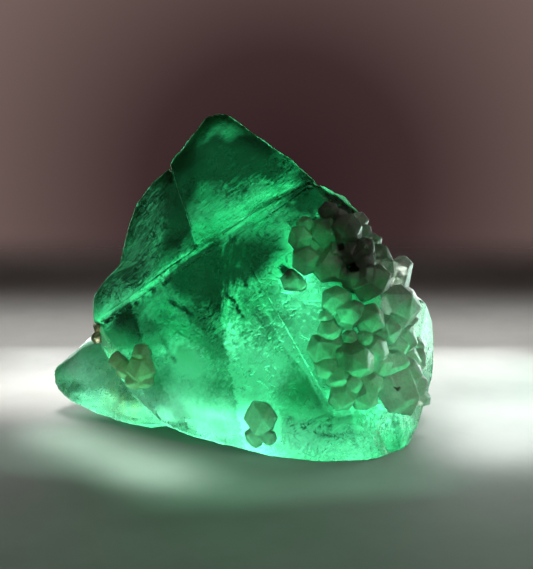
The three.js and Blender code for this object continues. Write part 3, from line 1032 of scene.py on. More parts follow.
@dataclass
class FluoriteBody:
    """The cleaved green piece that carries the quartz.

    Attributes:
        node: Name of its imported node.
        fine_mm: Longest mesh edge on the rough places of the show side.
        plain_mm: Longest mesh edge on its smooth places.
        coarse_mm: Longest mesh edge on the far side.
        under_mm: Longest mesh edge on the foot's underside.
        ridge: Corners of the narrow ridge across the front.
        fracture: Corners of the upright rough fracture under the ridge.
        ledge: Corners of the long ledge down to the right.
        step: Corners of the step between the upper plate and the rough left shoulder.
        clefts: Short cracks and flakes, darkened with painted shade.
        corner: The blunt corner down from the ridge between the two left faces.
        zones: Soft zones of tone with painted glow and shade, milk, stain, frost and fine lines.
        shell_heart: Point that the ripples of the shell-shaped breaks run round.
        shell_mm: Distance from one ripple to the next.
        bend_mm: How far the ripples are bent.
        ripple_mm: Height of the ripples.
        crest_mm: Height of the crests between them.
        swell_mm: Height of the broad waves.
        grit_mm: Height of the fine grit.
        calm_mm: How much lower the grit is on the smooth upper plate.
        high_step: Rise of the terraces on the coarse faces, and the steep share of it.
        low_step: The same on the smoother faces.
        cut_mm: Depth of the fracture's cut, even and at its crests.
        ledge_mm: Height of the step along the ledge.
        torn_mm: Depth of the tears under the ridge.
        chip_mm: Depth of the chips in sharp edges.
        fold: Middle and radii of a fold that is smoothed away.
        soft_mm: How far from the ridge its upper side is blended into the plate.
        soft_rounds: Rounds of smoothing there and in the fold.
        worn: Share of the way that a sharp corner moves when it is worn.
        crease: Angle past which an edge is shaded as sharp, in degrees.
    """

    node: str = "fluorite"
    fine_mm: float = 0.46
    plain_mm: float = 0.72
    coarse_mm: float = 0.95
    under_mm: float = 1.6
    ridge: Path = (
        (-22.7, -1.0, 18.1), (-15.3, -3.4, 23.4), (-6.1, -7.1, 30.9),
        (1.1, -6.0, 35.3), (6.9, -4.6, 39.3), (11.8, -4.4, 41.0),
    )
    fracture: Path = (
        (-2.9, -7.8, 31.2), (-2.6, -8.7, 27.2), (-2.6, -9.3, 23.4),
        (-2.6, -9.7, 19.5), (-2.0, -10.3, 16.0),
    )
    ledge: Path = (
        (0.8, -9.5, 28.6), (6.2, -13.4, 18.2), (10.3, -15.6, 13.6),
        (12.9, -17.4, 8.6), (14.7, -17.9, 7.5), (17.2, -17.0, 7.9),
    )
    step: Path = (
        (-11.1, 4.8, 42.2), (-8.9, 0.7, 38.8), (-8.0, -2.6, 35.4),
        (-7.1, -5.1, 32.2), (-6.1, -7.1, 30.9),
    )
    clefts: tuple[Cleft, ...] = (
        Cleft(0.36, 0.08, ((-1.7, -9.5, 24.4), (-0.6, -10.2, 22.8), (0.6, -10.8, 21.0))),
        Cleft(0.3, 0.04, ((0.2, -9.3, 29.0), (0.8, -9.6, 27.4), (1.2, -10.0, 25.9))),
        Cleft(0.22, 0.05, ((-10.7, -6.0, 22.4), (-7.4, -7.6, 20.8))),
        Cleft(0.3, 0.06, ((-12.4, -6.0, 16.6), (-11.2, -6.7, 15.0), (-10.1, -7.4, 13.0))),
    )
    corner: Path = ((-16.6, -4.0, 19.6), (-15.0, -5.0, 14.6), (-12.5, -6.5, 9.8))
    zones: tuple[Zone, ...] = (
        # the upper plate: a deep band behind the bright foot along the ridge
        Zone(Mark.TONE, -0.46, 2.3, ((-10.0, 1.5, 38.5), (-8.0, 3.2, 41.4), (-3.0, 2.2, 43.4))),
        Zone(Mark.TONE, -0.26, 1.8, ((-3.0, 2.2, 43.4), (1.5, 0.3, 43.4), (5.0, -1.6, 42.6))),
        Zone(Mark.TONE, -0.26, 1.8, ((-7.4, 3.0, 44.6), (-5.0, 4.0, 46.0))),
        Zone(Mark.TONE, 0.2, 2.2, ((-4.6, 5.6, 49.4), (-1.6, 5.4, 49.2))),
        Zone(Mark.TONE, -0.2, 1.4, ((0.4, 3.4, 46.4), (4.0, 1.6, 44.6))),
        Zone(Mark.TONE, -0.05, 1.6, ((-4.5, 0.0, 40.2), (-1.0, -0.8, 41.0))),
        Zone(Mark.TONE, 0.08, 2.0, ((4.0, -3.4, 39.8), (8.0, -4.0, 40.8))),
        Zone(Mark.TONE, 0.17, 2.6, ((-5.6, -5.6, 33.2), (-1.5, -4.8, 35.6), (3.6, -4.4, 38.0))),
        # the rough left shoulder
        Zone(Mark.TONE, -0.2, 2.6, ((-10.4, 1.0, 37.0), (-10.0, -2.4, 31.4))),
        Zone(Mark.TONE, -0.1, 3.0, ((-20.6, -1.4, 22.6), (-15.0, -3.0, 25.2))),
        Zone(Mark.TONE, 0.03, 3.0, ((-15.0, -0.5, 31.5), (-12.0, -1.5, 30.0))),
        # painted glow under the upper quartz, and the light foot of the shoulder along the ridge
        Zone(Mark.TONE, 0.4, 3.0, ((10.0, -7.0, 33.0), (13.5, -8.0, 31.0))),
        Zone(Mark.TONE, 0.12, 1.5, ((-22.0, -0.9, 19.8), (-15.0, -3.0, 24.8), (-8.4, -5.0, 31.0))),
        # under the ridge: painted deep shade in the corner beside the fracture, lighter down to the
        # left
        Zone(Mark.TONE, -0.34, 3.0, ((-8.4, -7.2, 27.0), (-4.0, -8.4, 27.5), (0.4, -9.0, 29.5))),
        Zone(Mark.TONE, 0.5, 3.4, ((-9.6, -7.2, 15.4), (-8.0, -8.0, 13.6))),
        Zone(Mark.TONE, -0.16, 3.0, ((-13.4, -5.6, 12.5), (-12.0, -6.6, 10.0))),
        Zone(Mark.TONE, 0.12, 2.4, ((-21.0, -1.5, 17.0), (-19.4, -2.4, 15.0))),
        Zone(Mark.TONE, -0.15, 2.4, ((-19.6, -2.4, 13.0), (-18.6, -3.0, 11.0))),
        Zone(Mark.TONE, 0.05, 3.0, ((-14.0, -4.6, 20.5), (-10.0, -6.4, 22.5))),
        Zone(Mark.TONE, 0.3, 4.0, ((-11.0, -7.6, 6.0), (-5.0, -10.2, 4.4))),
        # right of it: bright planes down to the foot and out to the flank, a painted glow from
        # behind
        Zone(Mark.TONE, -0.2, 2.8, ((2.8, -8.6, 28.0), (5.6, -9.0, 30.6))),
        Zone(Mark.TONE, 0.34, 3.6, ((-1.4, -10.4, 18.6), (0.6, -11.6, 14.5))),
        Zone(Mark.TONE, 0.2, 3.6, ((2.5, -10.4, 24.8), (6.4, -12.2, 22.0), (5.0, -13.0, 16.0))),
        Zone(Mark.TONE, 0.66, 4.4, ((8.6, -11.6, 26.5), (11.5, -13.0, 21.5), (9.5, -14.4, 17.6))),
        Zone(Mark.TONE, 0.5, 5.0, ((15.0, -13.0, 22.0), (22.0, -11.0, 17.0), (18.0, -15.0, 12.0))),
        Zone(Mark.TONE, 0.5, 5.0, ((26.0, -7.0, 22.0), (27.0, -8.0, 14.0), (25.0, -11.0, 8.0))),
        # painted glow by the left cluster, painted shade by the ledge's foot, deep behind the upper
        # quartz
        Zone(Mark.TONE, 0.25, 3.0, ((-18.5, -3.5, 11.5), (-15.5, -5.0, 10.8))),
        Zone(Mark.TONE, -0.2, 2.4, ((7.4, -14.6, 11.4), (10.8, -16.3, 9.4))),
        Zone(Mark.TONE, -0.6, 3.4, ((12.0, -4.8, 39.0), (17.6, -2.4, 35.8))),
        # bright curved cracks, black specks, and painted shade in a hollow beside the quartz
        Zone(
            Mark.TONE, 0.5, 0.3,
            ((8.3, -6.0, 38.2), (10.0, -6.0, 38.3), (11.4, -6.6, 37.3), (12.0, -7.0, 35.9)),
        ),
        Zone(Mark.TONE, -1.6, 0.55, ((6.7, -10.8, 28.4), (7.4, -11.0, 27.6))),
        Zone(Mark.TONE, -1.6, 0.5, ((16.3, -10.5, 25.9), (17.9, -10.5, 24.6))),
        Zone(Mark.TONE, -1.6, 1.8, ((16.6, -8.0, 29.0), (17.8, -8.0, 28.2))),
        # the foot with its lens-shaped shell, the flank and the rear crystal
        Zone(
            Mark.TONE, -0.24, 0.34,
            ((15.0, -16.5, 2.6), (16.6, -16.2, 3.8), (18.7, -15.6, 4.1), (20.9, -14.4, 3.2),
             (22.1, -13.4, 1.8), (20.2, -14.5, 1.1), (17.4, -16.0, 1.2), (15.0, -16.5, 2.6)),
        ),
        Zone(
            Mark.TONE, -0.2, 0.36,
            ((7.0, -16.4, 6.6), (9.5, -17.0, 4.4), (14.2, -17.4, 4.2), (17.7, -16.6, 4.8)),
        ),
        Zone(Mark.FROST, 0.9, 3.0, REAR_TOP),
        Zone(Mark.TONE, -0.25, 2.6, REAR_TOP),
        Zone(Mark.TONE, -0.3, 2.6, ((8.0, -16.0, 5.6), (12.0, -17.0, 5.0))),
        Zone(Mark.TONE, -0.12, 4.0, ((16.0, -16.5, 3.0), (24.0, -12.0, 3.4))),
        Zone(Mark.TONE, 0.3, 5.0, ((28.5, -4.5, 5.0), (30.0, 2.0, 10.0))),
        Zone(Mark.TONE, 0.5, 6.0, ((30.0, 2.0, 20.0), (30.0, 0.0, 10.0))),
        Zone(Mark.TONE, 0.16, 4.0, ((-28.0, 5.5, 6.0), (-24.0, 3.0, 4.0))),
        Zone(Mark.TONE, -0.06, 2.6, ((-24.6, 3.4, 10.0), (-22.0, 2.0, 8.6))),
        # milky: the foot, the bright planes, the rear crystal and the shoulder
        Zone(Mark.PALE, 0.9, 3.6, ((-14.5, -5.6, 4.6), (-8.0, -9.0, 4.4), (-1.0, -12.0, 2.6))),
        Zone(Mark.PALE, 0.8, 4.4, ((-1.0, -12.0, 2.6), (9.0, -16.0, 3.0), (18.0, -17.0, 2.6))),
        Zone(Mark.PALE, 0.6, 3.4, ((23.0, -12.0, 6.0), (27.0, -8.0, 5.0))),
        Zone(Mark.PALE, 0.24, 4.4, ((-0.5, -11.0, 18.5), (9.5, -12.8, 21.0), (5.0, -13.0, 16.0))),
        Zone(Mark.PALE, 0.9, 6.0, ((-28.0, 5.0, 7.5), (-21.0, 0.5, 4.0))),
        Zone(Mark.PALE, 0.4, 5.0, SHOULDER),
        # rusty: by the left cluster
        Zone(Mark.STAIN, 0.6, 2.6, ((-20.5, -0.4, 4.8), (-17.6, -1.8, 3.6))),
        Zone(Mark.STAIN, 0.5, 2.2, ((-21.4, 0.4, 9.4), (-19.5, -1.0, 12.0))),
        # frosted: the shoulder, the rim of the plate and the lower front
        Zone(Mark.FROST, 0.9, 6.0, SHOULDER),
        Zone(
            Mark.FROST, 0.9, 2.4,
            ((-8.5, 3.0, 43.5), (-4.0, 5.0, 49.0), (8.0, 2.0, 43.5), (14.0, -1.0, 40.0)),
        ),
        Zone(Mark.FROST, 0.6, 4.0, ((-10.0, -8.0, 8.0), (2.0, -13.0, 8.0), (12.0, -16.0, 8.0))),
        # feathery strokes, upright threads and hairlines
        Zone(Mark.FEATHER, 0.6, 5.0, ((-0.5, -11.0, 18.5), (3.5, -12.6, 17.0), (1.0, -12.0, 13.5))),
        Zone(Mark.FEATHER, 0.5, 1.0, ((-15.3, -3.4, 24.4), (-6.1, -7.1, 31.9), (6.9, -4.6, 40.3))),
        Zone(Mark.FEATHER, 0.14, 4.0, ((-4.0, -1.0, 40.4), (4.0, -1.8, 41.6), (10.0, -3.6, 42.0))),
        Zone(Mark.FEATHER, 0.14, 2.2, ((-1.5, -4.8, 35.6), (3.6, -4.4, 38.6), (7.0, -4.6, 40.0))),
        Zone(Mark.FEATHER, 0.16, 5.0, SHOULDER),
        Zone(Mark.HAIR, 0.25, 5.0, SHOULDER),
        Zone(Mark.FEATHER, 0.14, 4.0, ((10.0, -17.0, 4.0), (22.0, -14.0, 3.4))),
        Zone(Mark.FIBRE, 0.34, 2.6, ((-1.0, -8.2, 31.0), (-0.4, -9.6, 25.0), (-1.6, -9.8, 19.0))),
        Zone(Mark.HAIR, 0.9, 5.0, ((7.6, -11.5, 25.0), (9.8, -13.0, 21.0), (4.0, -13.0, 16.0))),
        Zone(Mark.HAIR, 0.45, 5.0, ((10.0, -17.0, 4.0), (24.0, -12.0, 3.4))),
    )
    shell_heart: Point = (17.0, -19.0, -3.0)
    shell_mm: float = 1.7
    bend_mm: float = 2.6
    ripple_mm: float = 0.05
    crest_mm: float = 0.16
    swell_mm: float = 0.08
    grit_mm: float = 0.05
    calm_mm: float = 0.035
    high_step: Span = (0.24, 0.4)
    low_step: Span = (0.16, 0.3)
    cut_mm: Span = (0.03, 0.07)
    ledge_mm: float = 0.07
    torn_mm: float = 0.14
    chip_mm: float = 0.2
    fold: tuple[Point, Point] = ((4.6, -8.0, 30.8), (5.0, 5.0, 2.0))
    soft_mm: float = 2.2
    soft_rounds: int = 40
    worn: float = 0.45
    crease: float = 34.0

    def allowed_edge(self, points: np.ndarray) -> np.ndarray:
        """Longest mesh edge: fine by the cracks and shells, plain, coarse far off and below.

        Args:
            points: Points, one a row.

        Returns:
            The length allowed at each point, in millimetres.
        """
        lines = ((self.fracture, 1.0), (self.ridge, 1.6), (self.ledge, 1.3))
        near = np.min([path_distance(points, path) * weight for path, weight in lines], axis=0)
        share = np.maximum(smooth(near, 4.4, 2.4), self.conchoidal(points))
        length = self.plain_mm + (self.fine_mm - self.plain_mm) * share
        length = length + (self.coarse_mm - length) * smooth(points[:, 1], 3.0, 9.0)
        return np.where(points[:, 2] < SOLE_MM, self.under_mm, length)

    def ridge_height(self, points: np.ndarray) -> np.ndarray:
        """Height of each point over the line of the ridge seen from the front."""
        line = np.array(self.ridge)
        return points[:, 2] - np.interp(points[:, 0], line[:, 0], line[:, 2])

    def front(self, skin: Skin) -> np.ndarray:
        """1 on faces that look to the front, 0 on the far side."""
        return smooth(-skin.normals()[:, 1], 0.05, 0.4)

    def conchoidal(self, points: np.ndarray) -> np.ndarray:
        """Share of the shell-shaped breaks low on the right front, from 0 to 1."""
        low = smooth(points[:, 2], 8.5, 5.0) * smooth(points[:, 0], 4.0, 9.0)
        return low * smooth(points[:, 1], 0.0, -8.0)

    def growth(self, points: np.ndarray, over: np.ndarray, front: np.ndarray) -> np.ndarray:
        """Height of the marks that lie on every face, in millimetres.

        Broad waves and fine grit, weaker on the smooth upper plate, and a stirred slope cut
        into terraces: high ones with crests on the coarse faces, low ones elsewhere.

        Args:
            points: Points, one a row.
            over: Height of each point over the line of the ridge.
            front: 1 where the surface looks to the front, 0 on the far side.

        Returns:
            The height at each point.
        """
        plate = smooth(over, 0.4, 1.2) * front * smooth(path_side(points, self.step), -0.2, 0.4)
        coarse = np.clip(1.0 - front + smooth(over, 0.4, 1.4) * (1.0 - plate), 0.0, 1.0)
        height = self.swell_mm * Grain(7.0, 3).rough(points) * (0.4 + 0.6 * (1.0 - plate))
        height += (self.grit_mm - self.calm_mm * plate) * Grain(1.7, 11).rough(points)
        slope = Grain(5.2, 31).rough(Grain(5.0, 23, 2).stir(points, 2.0))
        high, low = terraces(slope * 0.9, *self.high_step), terraces(slope * 0.35, *self.low_step)
        height += coarse * (high * 0.32 + 0.04 * Grain(2.4, 41).crests(points))
        height += (1.0 - coarse) * (1.0 - plate) * low * 0.14
        return height

    def shells(self, points: np.ndarray) -> np.ndarray:
        """Height of the shell-shaped breaks, in millimetres.

        The ripples are the sine of the distance from the shells' heart, bent by waves, and
        crests run between them.

        Args:
            points: Points, one a row.

        Returns:
            The height at each point.
        """
        bend = self.bend_mm * Grain(4.5, 53).rough(points)
        reach = np.linalg.norm(points - np.array(self.shell_heart), axis=1)
        ripples = np.sin((reach + bend) * 2.0 * math.pi / self.shell_mm)
        crests = Grain(4.2, 61).crests(points) - 0.6
        return self.conchoidal(points) * (self.ripple_mm * ripples + self.crest_mm * crests)

    def relief(self, skin: Skin) -> np.ndarray:
        """Height of growth marks, breaks and cracks over the flat faces, in millimetres.

        The marks of growth, the shell breaks, a rough cut along the fracture, a low step
        along the ledge, a torn lower edge on the ridge, the clefts cut in, and small chips
        out of the sharp edges.

        Args:
            skin: The refined skin.

        Returns:
            One height for each corner.
        """
        points, front = skin.points, self.front(skin)
        over = self.ridge_height(points)
        height = self.growth(points, over, front) + self.shells(points)
        broken = near_path(points, self.fracture, 0.7) * front
        even, crested = self.cut_mm
        height -= broken * (even + crested * Grain(0.9, 71).crests(points))
        side = path_side(Grain(1.2, 73, 2).stir(points, 0.2), self.ledge)
        rise = smooth(side, -0.25, 0.25) - 0.5
        height += self.ledge_mm * rise * near_path(points, self.ledge, 2.4) * front
        bent = Grain(1.6, 79, 2).stir(points, 0.5)
        torn = near_path(bent, self.ridge, 0.9) * smooth(over, 0.5, -0.8) * front
        height -= torn * self.torn_mm * smooth(Grain(1.1, 83).crests(points), 0.5, 0.95)
        stirred = Grain(0.9, 97, 2).stir(points, 0.25)
        for cleft in self.clefts:
            height -= cleft.depth * near_path(stirred, cleft.path, cleft.width)
        loose = smooth(Grain(1.5, 89).crests(points), 0.55, 1.0)
        height -= self.chip_mm * (smooth(skin.sharpness(), 0.004, 0.05) * loose)
        return height * smooth(points[:, 2], 0.0, 0.5)

    def tone(
        self, points: np.ndarray, over: np.ndarray, front: np.ndarray, zoned: np.ndarray
    ) -> np.ndarray:
        """How light the green is at each point, from about 0 to 1: own zoning, painted glow and
        shade.

        Args:
            points: Points, one a row.
            over: Height of each point over the line of the ridge.
            front: 1 where the surface looks to the front, 0 on the far side.
            zoned: Sum of the zones of tone.

        Returns:
            The tone.
        """
        ragged = Grain(1.1, 103).stir(points, 0.35)
        left = smooth(path_side(ragged, self.fracture), 0.15, -0.35)
        under = 1.0 - smooth(over, -0.4, 1.0)
        # Lighter towards the foot and right of the fracture as painted glow, deeper left of it as
        # painted shade.
        tone = zoned + 0.15 + 0.5 * smooth(points[:, 2], 19.0, 12.5) * under
        beside = smooth(points[:, 2], 24.0, 15.0) * smooth(points[:, 0], 9.0, 3.0)
        tone += 0.26 * (1.0 - left) * beside * under
        tone -= 0.16 * left * near_path(points, self.fracture, 3.4) * under
        tone += 0.06 * Grain(9.0, 101).rough(points)
        # The far side is evenly light.
        tone = 0.85 + (tone - 0.85) * front
        # A painted highlight along the ridge, and a millimetre under it ragged splinters of painted
        # shade with light tips.
        tone += 0.2 * near_path(points, self.ridge, 1.0) * smooth(over, -0.7, -0.2) * front
        combed = smooth(over, -0.3, -0.8) * smooth(points[:, 0], 5.0, 1.0) * front
        splinter_shade_and_glints = 0.5 * smooth(Grain(1.0, 127).crests(points), 0.5, 0.85) - 0.34
        raised = ragged + np.array([0.0, 0.0, 1.0])
        tone += splinter_shade_and_glints * near_path(raised, self.ridge, 0.6) * combed
        # Painted shade on the shoulder's side of the step.
        behind = smooth(path_side(ragged, self.step), 0.1, -0.3) * smooth(over, 0.3, 1.0)
        tone -= 0.12 * behind * near_path(points, self.step, 2.0) * front
        # A painted highlight along the ledge, and painted shade left of it.
        low = smooth(points[:, 2], 24.0, 12.0) * front
        tone += 0.08 * near_path(points, self.ledge, 0.2) * low
        ledge_shade = smooth(path_side(points, self.ledge), 0.0, -0.35)
        tone -= 0.24 * ledge_shade * near_path(points, self.ledge, 2.2) * low
        # Painted shade on the face left of the blunt corner, and painted shade in the clefts.
        turned = smooth(path_side(ragged, self.corner), 0.2, -0.2) * under
        tone -= 0.16 * turned * near_path(points, self.corner, 5.0) * front
        for cleft in self.clefts:
            tone -= 0.4 * near_path(ragged, cleft.path, cleft.width)
        return tone

    def paint(self, skin: Skin) -> None:
        """Marks the tone of the green and its milky, stained, frosted and lined places.

        Args:
            skin: The finished skin.
        """
        points, front = skin.points, self.front(skin)
        stirred = Grain(3.0, 99).stir(points, 0.5)
        marks = {zone.mark: np.zeros(len(points)) for zone in self.zones}
        for zone in self.zones:
            marks[zone.mark] += zone.at(stirred)
        marks[Mark.TONE] = self.tone(points, self.ridge_height(points), front, marks[Mark.TONE])
        marks[Mark.PALE] += 0.12 * Grain(3.0, 107).rough(points) + 0.04
        marks[Mark.FROST] += 0.15 + 0.2 * (1.0 - front) + 0.2 * Grain(4.0, 109).rough(points)
        marks[Mark.HAIR] += 0.15 * front
        marks[Mark.FEATHER] += 0.1 * front
        marks[Mark.FIBRE] += 0.12 * near_path(points, self.fracture, 1.6)
        for mark, values in marks.items():
            skin.set_mark(mark, values)

    def soften(self, skin: Skin) -> None:
        """Blends the upper side of the ridge into the plate, and a fold under it away.

        Args:
            skin: The skin with its relief.
        """
        upper = smooth(self.ridge_height(skin.points), -0.9, -0.1)
        share = near_path(skin.points, self.ridge, self.soft_mm) * upper
        share = np.maximum(share, np.clip(1.6 * bell(skin.points, *self.fold), 0.0, 1.0))
        for _ in range(self.soft_rounds):
            skin.relax(share)

    def build(self) -> bpy.types.Object:
        """Builds and dresses the fluorite.

        Returns:
            The finished piece.
        """
        skin = Skin.of_node(self.node)
        skin.refine(self.allowed_edge)
        skin.wear(self.worn)
        skin.push(self.relief(skin))
        self.soften(skin)
        self.paint(skin)
        piece = skin.to_object("fluorite_body", self.crease)
        piece.data.materials.append(FLUORITE.material())
        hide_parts(self.node)
        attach(piece, "root")
        log.info("%s: %d triangles", piece.name, len(skin.faces))
        return piece


# ---- The quartz -------------------------------------------------------------------------


@dataclass(frozen=True)
class Patch:
    """A patch of a cluster: smoke, milk, a painted glint, black specks or painted hollow shade.

    Attributes:
        mark: The mark that it raises.
        amount: Share at the middle.
        centre: Middle of the patch.
        radii: Reach along X, Y and Z.
    """

    mark: Mark
    amount: float
    centre: Point
    radii: Point


OVERHANG = -0.05  # lowest share of a corner for a point that still lies over a face
FACET_TURNS = 5.0  # steps of a normal's length that tell one face from another
FACET_STEP_MM = 1.5  # step of a face's distance that does the same
FACET_STRIDE = 31  # keeps the two apart in one key
SEAM_ROUNDS = 2


@dataclass
class Ground:
    """The flat faces that the crystals stand on.

    Attributes:
        corners: The three corners of each face, in millimetres.
        upward: Outward unit normal of each face.
    """

    corners: np.ndarray
    upward: np.ndarray

    @classmethod
    def of_node(cls, name: str) -> "Ground":
        """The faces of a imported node.

        Args:
            name: Name of the node.

        Returns:
            Its faces.
        """
        skin = Skin.of_node(name)
        normals = skin.face_normals()
        lengths = np.linalg.norm(normals, axis=1, keepdims=True)
        return cls(skin.points[skin.faces], normals / lengths)

    def gaps(self, points: np.ndarray, reach: float) -> tuple[np.ndarray, np.ndarray]:
        """How far each point hangs over the nearest face that lies right under it.

        A point lies over a face when its foot on the face's plane has three shares of the
        face's corners that are none of them much under zero.

        Args:
            points: Points, one a row.
            reach: Largest gap looked for.

        Returns:
            The gaps, or the reach where there is no face, and the normals of the faces.
        """
        low, high = points.min(0) - reach, points.max(0) + reach
        near = (self.corners.max(1) > low).all(1) & (self.corners.min(1) < high).all(1)
        best = np.full(len(points), reach)
        normals = np.zeros_like(points)
        for (a, b, c), upward in zip(self.corners[near], self.upward[near]):
            away = points - a
            height = away @ upward
            area = np.cross(b - a, c - a) @ upward
            second = np.cross(away, c - a) @ upward / area
            third = np.cross(b - a, away) @ upward / area
            over = np.minimum(np.minimum(second, third), 1.0 - second - third) > OVERHANG
            closer = over & (np.abs(height) < np.abs(best))
            best = np.where(closer, height, best)
            normals = np.where(closer[:, None], upward, normals)
        return best, normals


@dataclass
class QuartzCluster:
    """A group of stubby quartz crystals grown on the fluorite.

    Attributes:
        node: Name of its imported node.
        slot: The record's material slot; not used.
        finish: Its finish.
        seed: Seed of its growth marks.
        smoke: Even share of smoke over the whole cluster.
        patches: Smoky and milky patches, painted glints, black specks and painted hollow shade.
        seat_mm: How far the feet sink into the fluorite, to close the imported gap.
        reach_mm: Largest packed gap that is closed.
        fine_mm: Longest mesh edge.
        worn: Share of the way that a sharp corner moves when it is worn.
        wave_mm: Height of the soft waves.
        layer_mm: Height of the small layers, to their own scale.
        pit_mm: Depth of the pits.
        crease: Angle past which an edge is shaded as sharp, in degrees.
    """

    node: str
    slot: str
    finish: MineralFinish
    seed: int
    smoke: float = 0.1
    patches: tuple[Patch, ...] = ()
    seat_mm: float = 0.3
    reach_mm: float = 0.6
    fine_mm: float = 0.32
    worn: float = 0.5
    wave_mm: float = 0.035
    layer_mm: float = 0.05
    pit_mm: float = 0.05
    crease: float = 26.0

    def sink(self, skin: Skin, ground: Ground) -> None:
        """Moves the feet that face the fluorite a little way into it.

        Args:
            skin: The cluster's skin.
            ground: The fluorite's packed faces.
        """
        gap, upward = ground.gaps(skin.points, self.reach_mm)
        drop = (gap + self.seat_mm) * smooth(gap, self.reach_mm, self.reach_mm * 0.7)
        skin.points = skin.points - upward * drop[:, None]

    def relief(self, skin: Skin) -> np.ndarray:
        """Height of growth marks: soft waves, small stepped layers and pits, in millimetres.

        Args:
            skin: The refined skin.

        Returns:
            One height for each corner.
        """
        height = self.wave_mm * Grain(1.4, self.seed).rough(skin.points)
        slope = Grain(2.2, self.seed + 5, 2).rough(skin.points)
        height += self.layer_mm * terraces(slope, 0.3, 0.25)
        pits = smooth(pebbles(skin.points, 0.9, self.seed + 9), 0.3, 0.1)
        return height - self.pit_mm * pits

    def facet_values(self, skin: Skin) -> np.ndarray:
        """A scattered number for each corner, the same all over one flat crystal face.

        A face is known by its rounded normal, and by how far out its plane lies.

        Args:
            skin: The refined skin, before it is worn.

        Returns:
            Numbers from 0 to 1.
        """
        normals = skin.normals()
        out = np.round((skin.points * normals).sum(1) / FACET_STEP_MM).astype(np.int64)
        keys = np.round(normals * FACET_TURNS).astype(np.int64)
        keys[:, 0] += out * FACET_STRIDE
        return scatter(keys, self.seed)

    def paint(self, skin: Skin) -> None:
        """Marks the smoky, milky and black places, and painted glints, edge highlights and shade.

        Args:
            skin: The finished skin.
        """
        marks = {mark: np.zeros(len(skin.points)) for mark in (Mark.SMOKE, Mark.MILK_AND_GLINT, Mark.BLACK_SPECKS_AND_HOLLOW_SHADE)}
        marks[Mark.SMOKE] += self.smoke
        stirred = Grain(1.4, self.seed + 13).stir(skin.points, 0.5)
        for patch in self.patches:
            marks[patch.mark] += patch.amount * bell(stirred, patch.centre, patch.radii)
        # Painted highlight on convex edges, and painted shade in concave seams, spread a little way
        # out.
        bulge = skin.bulge() / self.fine_mm
        seam_shade = smooth(bulge, -0.03, -0.2)[:, None]
        for _ in range(SEAM_ROUNDS):
            seam_shade = np.maximum(seam_shade, skin.near_mean(seam_shade))
        marks[Mark.EDGE_HIGHLIGHT], marks[Mark.SEAM_SHADE] = smooth(bulge, 0.03, 0.16), seam_shade[:, 0]
        for mark, values in marks.items():
            skin.set_mark(mark, values)

    def build(self, ground: Ground) -> bpy.types.Object:
        """Builds and dresses the cluster.

        Args:
            ground: The fluorite's packed faces.

        Returns:
            The finished piece.
        """
        skin = Skin.of_node(self.node)
        skin.refine(lambda points: np.full(len(points), self.fine_mm))
        skin.set_mark(Mark.FACET, self.facet_values(skin))
        skin.wear(self.worn)
        skin.push(self.relief(skin))
        self.sink(skin, ground)
        self.paint(skin)
        piece = skin.to_object(self.node + "_crystals", self.crease)
        piece.data.materials.append(self.finish.material())
        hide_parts(self.node)
        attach(piece, "root")
        log.info("%s: %d triangles", piece.name, len(skin.faces))
        return piece


CLUSTERS = (
    QuartzCluster(
        "quartz_upper", "smoky_quartz", QUARTZ, 211, 0.06,
        (
            Patch(Mark.SMOKE, 0.95, (18.6, -9.0, 32.0), (3.8, 5.0, 4.4)),
            Patch(Mark.SMOKE, 0.5, (21.6, -5.0, 28.5), (3.6, 4.0, 3.0)),
            Patch(Mark.SMOKE, 0.5, (13.6, -8.0, 36.0), (1.8, 3.0, 1.8)),
            Patch(Mark.MILK_AND_GLINT, 0.9, (24.4, -4.0, 27.0), (1.9, 3.0, 2.8)),
            Patch(Mark.MILK_AND_GLINT, 0.6, (10.0, -9.0, 32.0), (4.0, 5.0, 5.0)),
            # a painted glint on the top right edge
            Patch(Mark.MILK_AND_GLINT, 1.0, (20.5, -5.0, 33.2), (0.7, 3.0, 0.8)),
            # painted shade in the hollow between the crystals, then black specks
            Patch(Mark.BLACK_SPECKS_AND_HOLLOW_SHADE, 1.2, (17.2, -9.0, 28.6), (1.4, 4.0, 1.1)),
            Patch(Mark.BLACK_SPECKS_AND_HOLLOW_SHADE, 1.0, (15.2, -9.0, 31.6), (0.8, 4.0, 1.2)),
            Patch(Mark.BLACK_SPECKS_AND_HOLLOW_SHADE, 1.2, (16.8, -9.0, 25.2), (1.3, 4.0, 0.5)),
        ),
    ),
    QuartzCluster(
        "quartz_lower", "quartz", QUARTZ, 223, 0.16,
        (
            Patch(Mark.MILK_AND_GLINT, 1.0, (24.0, -9.0, 20.0), (5.0, 5.0, 7.0)),
            Patch(Mark.MILK_AND_GLINT, 0.9, (23.5, -10.0, 8.5), (4.4, 4.0, 3.6)),
            Patch(Mark.MILK_AND_GLINT, 0.6, (29.0, -4.0, 7.5), (1.8, 3.0, 2.0)),
            Patch(Mark.SMOKE, 0.4, (16.0, -12.0, 13.0), (4.4, 5.0, 5.4)),
            Patch(Mark.BLACK_SPECKS_AND_HOLLOW_SHADE, 1.2, (17.1, -13.0, 13.2), (0.4, 4.0, 0.9)),
            Patch(Mark.BLACK_SPECKS_AND_HOLLOW_SHADE, 1.2, (23.8, -12.0, 11.0), (1.0, 4.0, 0.35)),
        ),
    ),
    QuartzCluster("quartz_single", "quartz", QUARTZ, 227, 0.4),
    QuartzCluster("quartz_bottom", "quartz", QUARTZ, 229, 0.36),
    QuartzCluster("quartz_left", "quartz", STAINED, 233, 0.05),
    QuartzCluster("quartz_edge", "smoky_quartz", STAINED, 239, 0.9),
    QuartzCluster("quartz_back", "smoky_quartz", QUARTZ, 241, 0.35),
    QuartzCluster("quartz_rear", "quartz", QUARTZ, 251, 0.1),
)


# ---- The studio -------------------------------------------------------------------------


